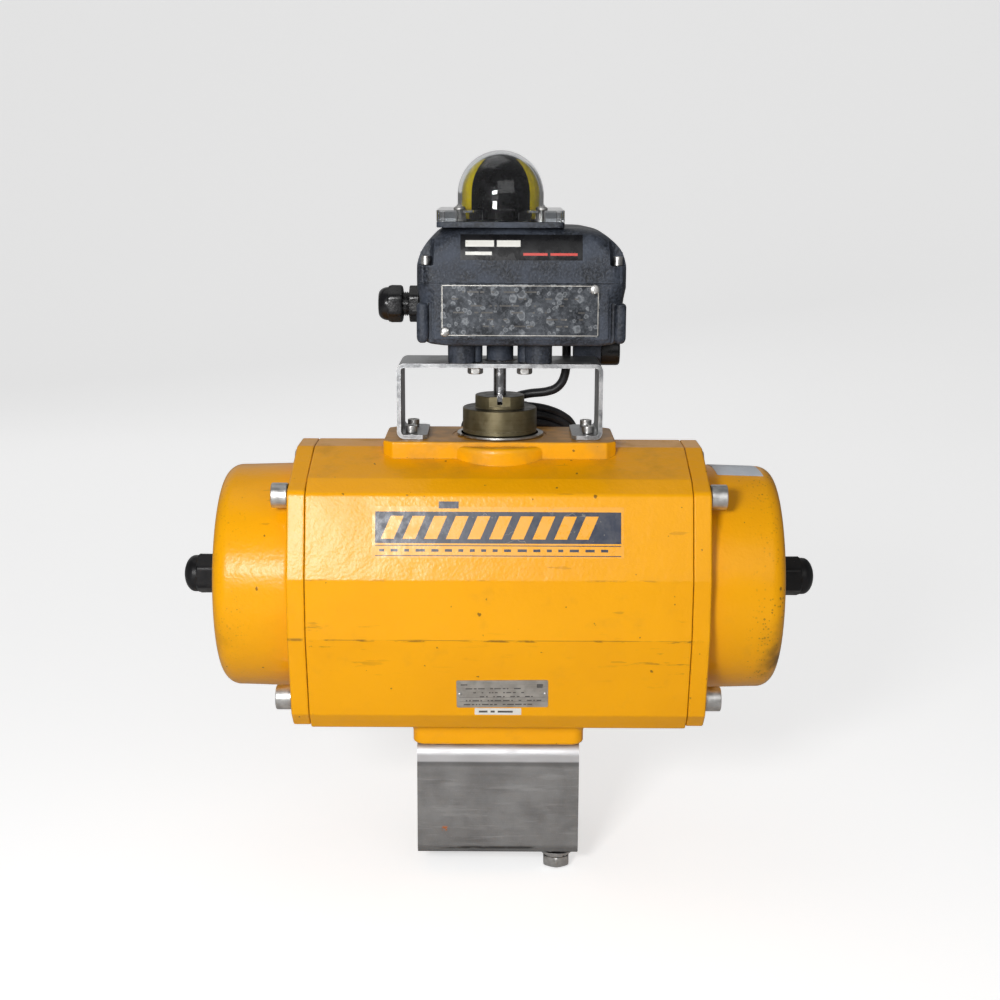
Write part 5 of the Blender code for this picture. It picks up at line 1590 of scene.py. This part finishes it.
def makeGrommet():
    inner, flange = cable["radius"] + grommet["clearance"], grommet["flange"]
    low, high = grommet["low"], grommet["high"]
    rows = [(inner, low), (0.0048, low), (0.0052, low + 0.0005)]
    for i in range(3):
        at, r = 0.3736 + 0.0012 * i, 0.0054 + 0.0004 * i
        rows += [(r, at), (r + 0.0004, at + 0.0003), (r + 0.0004, at + 0.0006), (r, at + 0.0009)]
    rows += [(flange, 0.3772), (flange, 0.3803), (flange - 0.0004, 0.3807), (0.0056, 0.3807), (0.0056, high),
             (inner, high)]
    piece("cableGrommet", lathe(rows, "Z", cable["exit"][:2], 48, loop=True), "rubber",
          nodes="cable_grommet", sharp=35)


makeGland()
makePlug()
makeGrommet()
print("fittings made")


# Labels and plates: thin slabs with printed marks as thinner slabs on top

def slab(bm, where, outline, low, high, index=0):
    # where(u, v, out) gives the point; faces take the material at index
    known = set(bm.faces)
    loft([[where(u, v, out) for u, v in outline] for out in (low, high)], bm=bm)
    for face in bm.faces:
        if face not in known:
            face.material_index = index


def facetPlace(foot, head):
    # points on a flat of the housing's front, v up the flat from its foot, (Y, Z)
    low, high = Vector((foot[0], foot[1] + axisHeight)), Vector((head[0], head[1] + axisHeight))
    up = (high - low).normalized()
    normal = Vector((-up.y, up.x))

    def where(u, v, out):
        p = low + up * v + normal * out
        return (u, p.x, p.y)
    return where


upperFlat = facetPlace((-0.096, 0.020), (-0.0805, 0.0785))
lowerFlat = facetPlace((-0.082, -0.084), (-0.096, -0.0235))
sticker = {"left": -0.0890, "right": 0.0876, "bottom": 0.0160, "top": 0.0520, "panelLow": 0.0262,
           "panelHigh": 0.0484, "lean": 0.007, "bar": 0.0090, "step": 0.0152}


def makeSticker():
    s = sticker
    bm = bmesh.new()
    slab(bm, upperFlat, rectangle(s["left"], s["bottom"], s["right"], s["top"], 0.001), 0.00002, 0.00010, 0)
    low, high = s["panelLow"], s["panelHigh"]
    slab(bm, upperFlat, rectangle(s["left"] + 0.002, low, s["right"] - 0.002, high), 0.00010, 0.00014, 1)
    x = s["left"] + 0.006
    while x + s["bar"] + s["lean"] < s["right"] - 0.004:
        lean = s["lean"]
        bar = [(x, low + 0.003), (x + s["bar"], low + 0.003), (x + s["bar"] + lean, high - 0.003),
               (x + lean, high - 0.003)]
        slab(bm, upperFlat, bar, 0.00014, 0.00018, 0)
        x += s["step"]
    slab(bm, upperFlat, rectangle(-0.0425, 0.0507, -0.0285, 0.0556), 0.00002, 0.00014, 1)
    for v in (0.0172, 0.0243):
        slab(bm, upperFlat, rectangle(s["left"] + 0.002, v, s["right"] - 0.002, v + 0.0006), 0.00010, 0.00014, 1)
    rng = random.Random(4)
    x = s["left"] + 0.005
    while x < s["right"] - 0.012:
        wide = rng.choice((0.0035, 0.005, 0.0065))
        slab(bm, upperFlat, rectangle(x, 0.0203, x + wide, 0.0222), 0.00010, 0.00014, 1)
        x += wide + 0.0045
    piece("bodySticker", bm, ["film", "navy"])


typePlate = {"left": -0.0300, "right": 0.0355, "low": 0.0075, "high": 0.0298, "turn": 0.7,
             "rows": ((0.6, 5.2), (4.0, 45.0), (9.5, 48.0), (14.0, 58.0), (4.0, 58.0), (2.5, 57.0))}  # rows in mm


def makeTypePlate():
    t = typePlate
    middle = Vector(((t["left"] + t["right"]) / 2, (t["low"] + t["high"]) / 2))
    turn = math.radians(t["turn"])

    def where(u, v, out):
        d = Vector((u, v)) - middle
        return lowerFlat(middle.x + d.x * math.cos(turn) - d.y * math.sin(turn),
                         middle.y + d.x * math.sin(turn) + d.y * math.cos(turn), out)

    bm = bmesh.new()
    slab(bm, where, rectangle(t["left"], t["low"], t["right"], t["high"], 0.0012), 0.00003, 0.0006, 0)
    rng = random.Random(11)
    for row, (start, end) in enumerate(t["rows"]):
        v = t["high"] - 0.0030 - 0.0033 * row
        u = t["left"] + 0.0025 + start * mm
        while u < t["left"] + end * mm:
            wide = rng.choice((0.0012, 0.002, 0.0034, 0.0048))
            slab(bm, where, rectangle(u, v - 0.0009, u + wide, v), 0.0006, 0.00063, 1)
            u += wide + rng.choice((0.0009, 0.0012, 0.0040))
    for v in (t["low"] + 0.0048, t["low"] + 0.0082):
        slab(bm, where, rectangle(t["left"] + 0.002, v, t["right"] - 0.002, v + 0.0002), 0.0006, 0.00063, 1)
    mark = rectangle(t["right"] - 0.0080, t["high"] - 0.0062, t["right"] - 0.0035, t["high"] - 0.0030, 0.0006)
    slab(bm, where, mark, 0.0006, 0.00063, 1)
    piece("typePlate", bm, ["typePlate", "plateInk"])
    for i, u in enumerate((t["left"] + 0.0022, t["right"] - 0.0022)):
        rings = [[where(u, middle.y, 0.0016)]]
        for a in (25, 50, 75, 90):
            r, out = 0.0014 * math.sin(math.radians(a)), 0.0006 + 0.0010 * math.cos(math.radians(a))
            turns = [k * math.tau / 20 for k in range(20)]
            rings.append([where(u + r * math.cos(b), middle.y + r * math.sin(b), out) for b in turns])
        piece(f"plateRivet{i + 1}", loft(rings), "plated")

    bm = bmesh.new()
    slab(bm, lowerFlat, rectangle(-0.0170, 0.0008, 0.0165, 0.0064, 0.0005), 0.00003, 0.00016, 0)
    u = -0.0140
    for wide in (0.0062, 0.0030, 0.0108):
        slab(bm, lowerFlat, rectangle(u, 0.0027, u + wide, 0.0043), 0.00016, 0.00019, 1)
        u += wide + 0.0022
    piece("whiteLabel", bm, ["white", "plateInk"])


boxPlate = {"left": -0.0420, "right": 0.0700, "low": 0.3882, "high": 0.4254, "thick": 0.5 * mm,
            "screws": ((-0.0390, 0.3918), (0.0662, 0.4220))}


def makeBoxPlate():
    p = boxPlate
    front = box["low"][1]

    def where(u, v, out):
        return (u, front - out, v)

    bm = bmesh.new()
    slab(bm, where, rectangle(p["left"], p["low"], p["right"], p["high"], 0.0016), 0.00003, p["thick"], 0)
    top = p["thick"]
    # bright line round the edge
    i, w = 0.0009, 0.0005
    for u0, v0, u1, v1 in ((p["left"] + i, p["low"] + i, p["left"] + i + w, p["high"] - i),
                           (p["right"] - i - w, p["low"] + i, p["right"] - i, p["high"] - i),
                           (p["left"] + i, p["low"] + i, p["right"] - i, p["low"] + i + w),
                           (p["left"] + i, p["high"] - i - w, p["right"] - i, p["high"] - i)):
        slab(bm, where, rectangle(u0, v0, u1, v1), top, top + 0.00008, 1)
    rng = random.Random(23)
    for row in range(6):
        v = p["high"] - 0.0050 - 0.0048 * row
        u = p["left"] + rng.uniform(0.004, 0.010)
        while u < p["right"] - 0.014:
            wide = rng.choice((0.0015, 0.0028, 0.0045, 0.008))
            if rng.random() < 0.62:
                slab(bm, where, rectangle(u, v - 0.0011, u + wide, v), top, top + 0.00004, 2)
            u += wide + rng.choice((0.0012, 0.0020, 0.007))
    piece("boxPlate", bm, ["wornPlate", "typePlate", "plateInk"])
    for k, (u, v) in enumerate(p["screws"]):
        out = front - top
        rows = [(0, out - 0.0017), (0.0018, out - 0.0016), (0.0029, out - 0.0011), (0.0034, out - 0.0004),
                (0.0034, out - 0.0001)]
        head = lathe(rows, "Y", (u, v), 36)
        slit = [Vector(p) for p in ((-0.004, -0.0004), (0.004, -0.0004), (0.004, 0.0004), (-0.004, 0.0004))]
        turn = Matrix.Rotation(math.radians(35 + 50 * k), 2)
        outline = [(u + (turn @ q).x, v + (turn @ q).y) for q in slit]
        piece(f"boxPlateScrew{k + 1}", cut(head, prism(outline, "Y", out - 0.003, out - 0.0009)),
              "plated")


boxSticker = {"left": -0.0280, "right": 0.0575, "low": 0.4420, "high": 0.4596}


def makeBoxSticker():
    s = boxSticker
    front = box["low"][1]

    def curved(bm, u0, v0, u1, v1, low, high, index):
        # a slab that follows the cover's front
        known = set(bm.faces)
        count = max(1, round((v1 - v0) / 0.0012))
        heights = [v0 + (v1 - v0) * k / count for k in range(count + 1)]
        rings = []
        for u, out in ((u0, low), (u1, low), (u1, high), (u0, high)):
            rings.append([bm.verts.new((u, front + coverInset(v) - out, v)) for v in heights])
        for a, b in zip(rings, rings[1:] + rings[:1]):
            for k in range(count):
                bm.faces.new((a[k], b[k], b[k + 1], a[k + 1]))
        for k in (0, count):
            bm.faces.new([ring[k] for ring in rings])
        for face in bm.faces:
            if face not in known:
                face.material_index = index

    bm = bmesh.new()
    curved(bm, s["left"], s["low"], s["right"], s["high"], 0.00003, 0.00013, 0)
    marks = [(-0.0245, 0.4512, -0.0045, 0.4556, 1), (-0.0025, 0.4512, 0.0140, 0.4556, 1),
             (-0.0245, 0.4455, -0.0060, 0.4478, 1), (0.0160, 0.4452, 0.0330, 0.4470, 2),
             (0.0350, 0.4452, 0.0540, 0.4470, 2)]
    for u0, v0, u1, v1, index in marks:
        curved(bm, u0, v0, u1, v1, 0.00013, 0.00017, index)
    piece("boxSticker", bm, ["black", "white", "red"])


tape = {"start": 157, "length": 34, "skew": 4, "from": 80, "span": 24, "thick": 0.14 * mm}  # mm and degrees


def makeTape():
    # a strip of pale tape left on the right-hand cap
    bm = bmesh.new()
    grid = {}
    across, along = 8, 10
    for layer, out in ((0, 0.00004), (1, 0.00004 + tape["thick"])):
        for i in range(along + 1):
            for j in range(across + 1):
                x = (tape["start"] + tape["length"] * i / along + tape["skew"] * (j / across)) * mm
                angle = math.radians(tape["from"] + tape["span"] * j / across)
                radius = 0.0845 - 0.0010 * (x - 0.153) / 0.034 + out + 0.0001
                y, z = radius * math.cos(angle), axisHeight + radius * math.sin(angle)
                grid[layer, i, j] = bm.verts.new((x, y, z))
    for layer in (0, 1):
        for i in range(along):
            for j in range(across):
                around = ((i, j), (i + 1, j), (i + 1, j + 1), (i, j + 1))
                bm.faces.new([grid[layer, a, b] for a, b in around])
    rim = [(i, 0) for i in range(along)] + [(along, j) for j in range(across)]
    rim += [(i, across) for i in range(along, 0, -1)] + [(0, j) for j in range(across, 0, -1)]
    for a, b in zip(rim, rim[1:] + rim[:1]):
        bm.faces.new([grid[0, a[0], a[1]], grid[0, b[0], b[1]], grid[1, b[0], b[1]], grid[1, a[0], a[1]]])
    piece("paleTape", bm, "tape")


makeSticker()
makeTypePlate()
makeBoxPlate()
makeBoxSticker()
makeTape()
print("labels made")


# CAD pieces that keep their shape and get their finish here

kept = {"aluminium": ["left_piston", "right_piston"],
        "machined": ["drive_pinion", "left_stop_screw", "right_stop_screw"],
        "bush": ["upper_bush", "lower_bush"], "rubber": ["left_piston_seal", "right_piston_seal",
                                                         "cover_gasket"],
        "switchBody": ["lower_switch", "upper_switch"], "terminal": ["terminal_strip"],
        "cam": ["lower_cam", "upper_cam"]}
for look, names in kept.items():
    for name in names:
        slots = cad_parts[name].data.materials
        slots.clear()
        slots.append(looks[look])


# Floor, lights and sky

studio = {"floor": 0.62, "glow": 0.62, "sky": 0.19, "key": 10.2, "keyPlace": (-0.32, -1.15, 0.60),
          "keySize": (0.24, 0.20), "fill": 5.5, "fillPlace": (0.5, -1.8, 1.2), "fillSize": (1.6, 1.2),
          "top": 2.0, "topPlace": (-0.3, 0.3, 1.9), "topSize": (1.2, 1.0), "back": 6.0,
          "backPlace": (-0.5, 1.9, 1.2), "backSize": (3.0, 1.6)}


def buildFloor(tree):
    # the floor glows a little to the camera alone, so that it stays pale and lends no light
    cloud = mottle(tree, 0.8, 2.0)
    tone, glow = studio["floor"], studio["glow"]
    seen = node(tree, "LightPath").outputs["Is Camera Ray"]
    return {"Base Color": mix(tree, cloud, (tone, tone, tone), (tone * 0.985,) * 3),
            "Roughness": ramp(tree, cloud, 0, 1, 0.75, 0.85),
            "Emission Color": mix(tree, seen, (0.0, 0.0, 0.0), (glow, glow, glow))}


def makeStage():
    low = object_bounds()[0].z - 0.0003
    profile = [(-6.0, low), (2.0, low)]
    for i in range(1, 13):
        angle = math.radians(7.5 * i)
        profile.append((2.0 + 1.5 * math.sin(angle), low + 1.5 * (1 - math.cos(angle))))
    profile.append((3.5, 6.0))
    bm = bmesh.new()
    rows = [[bm.verts.new((x, y, z)) for y, z in profile] for x in (-7.0, 7.0)]
    for i in range(len(profile) - 1):
        bm.faces.new((rows[0][i], rows[1][i], rows[1][i + 1], rows[0][i + 1]))
    made = asObject("floor", bm)
    made.data.materials.append(material("floor", buildFloor, Emission_Strength=1.0))
    made.data.shade_smooth()


def makeLight(name, spot, size, power, aim=(0, 0, 0.25)):
    data = bpy.data.lights.new(name, "AREA")
    data.shape, data.size, data.size_y, data.energy = "RECTANGLE", *size, power
    made = bpy.data.objects.new(name, data)
    bpy.context.scene.collection.objects.link(made)
    made.location = spot
    made.rotation_euler = (Vector(aim) - Vector(spot)).to_track_quat("-Z", "Y").to_euler()


def makeSky():
    world = bpy.data.worlds.new("studio")
    bpy.context.scene.world = world
    world.use_nodes = True
    # pale where it is seen past the floor, softer as a light
    tree = world.node_tree
    back = tree.nodes["Background"]
    seen = node(tree, "LightPath").outputs["Is Camera Ray"]
    back.inputs["Color"].default_value = (1, 1, 1, 1)
    feed(tree, back.inputs["Strength"], calc(tree, "ADD", studio["sky"], times(tree, seen, 0.65)))


makeStage()
makeLight("key", studio["keyPlace"], studio["keySize"], studio["key"])
makeLight("fill", studio["fillPlace"], studio["fillSize"], studio["fill"])
makeLight("top", studio["topPlace"], studio["topSize"], studio["top"])
makeLight("back", studio["backPlace"], studio["backSize"], studio["back"])
makeSky()
bpy.context.scene.view_settings.view_transform = "Standard"
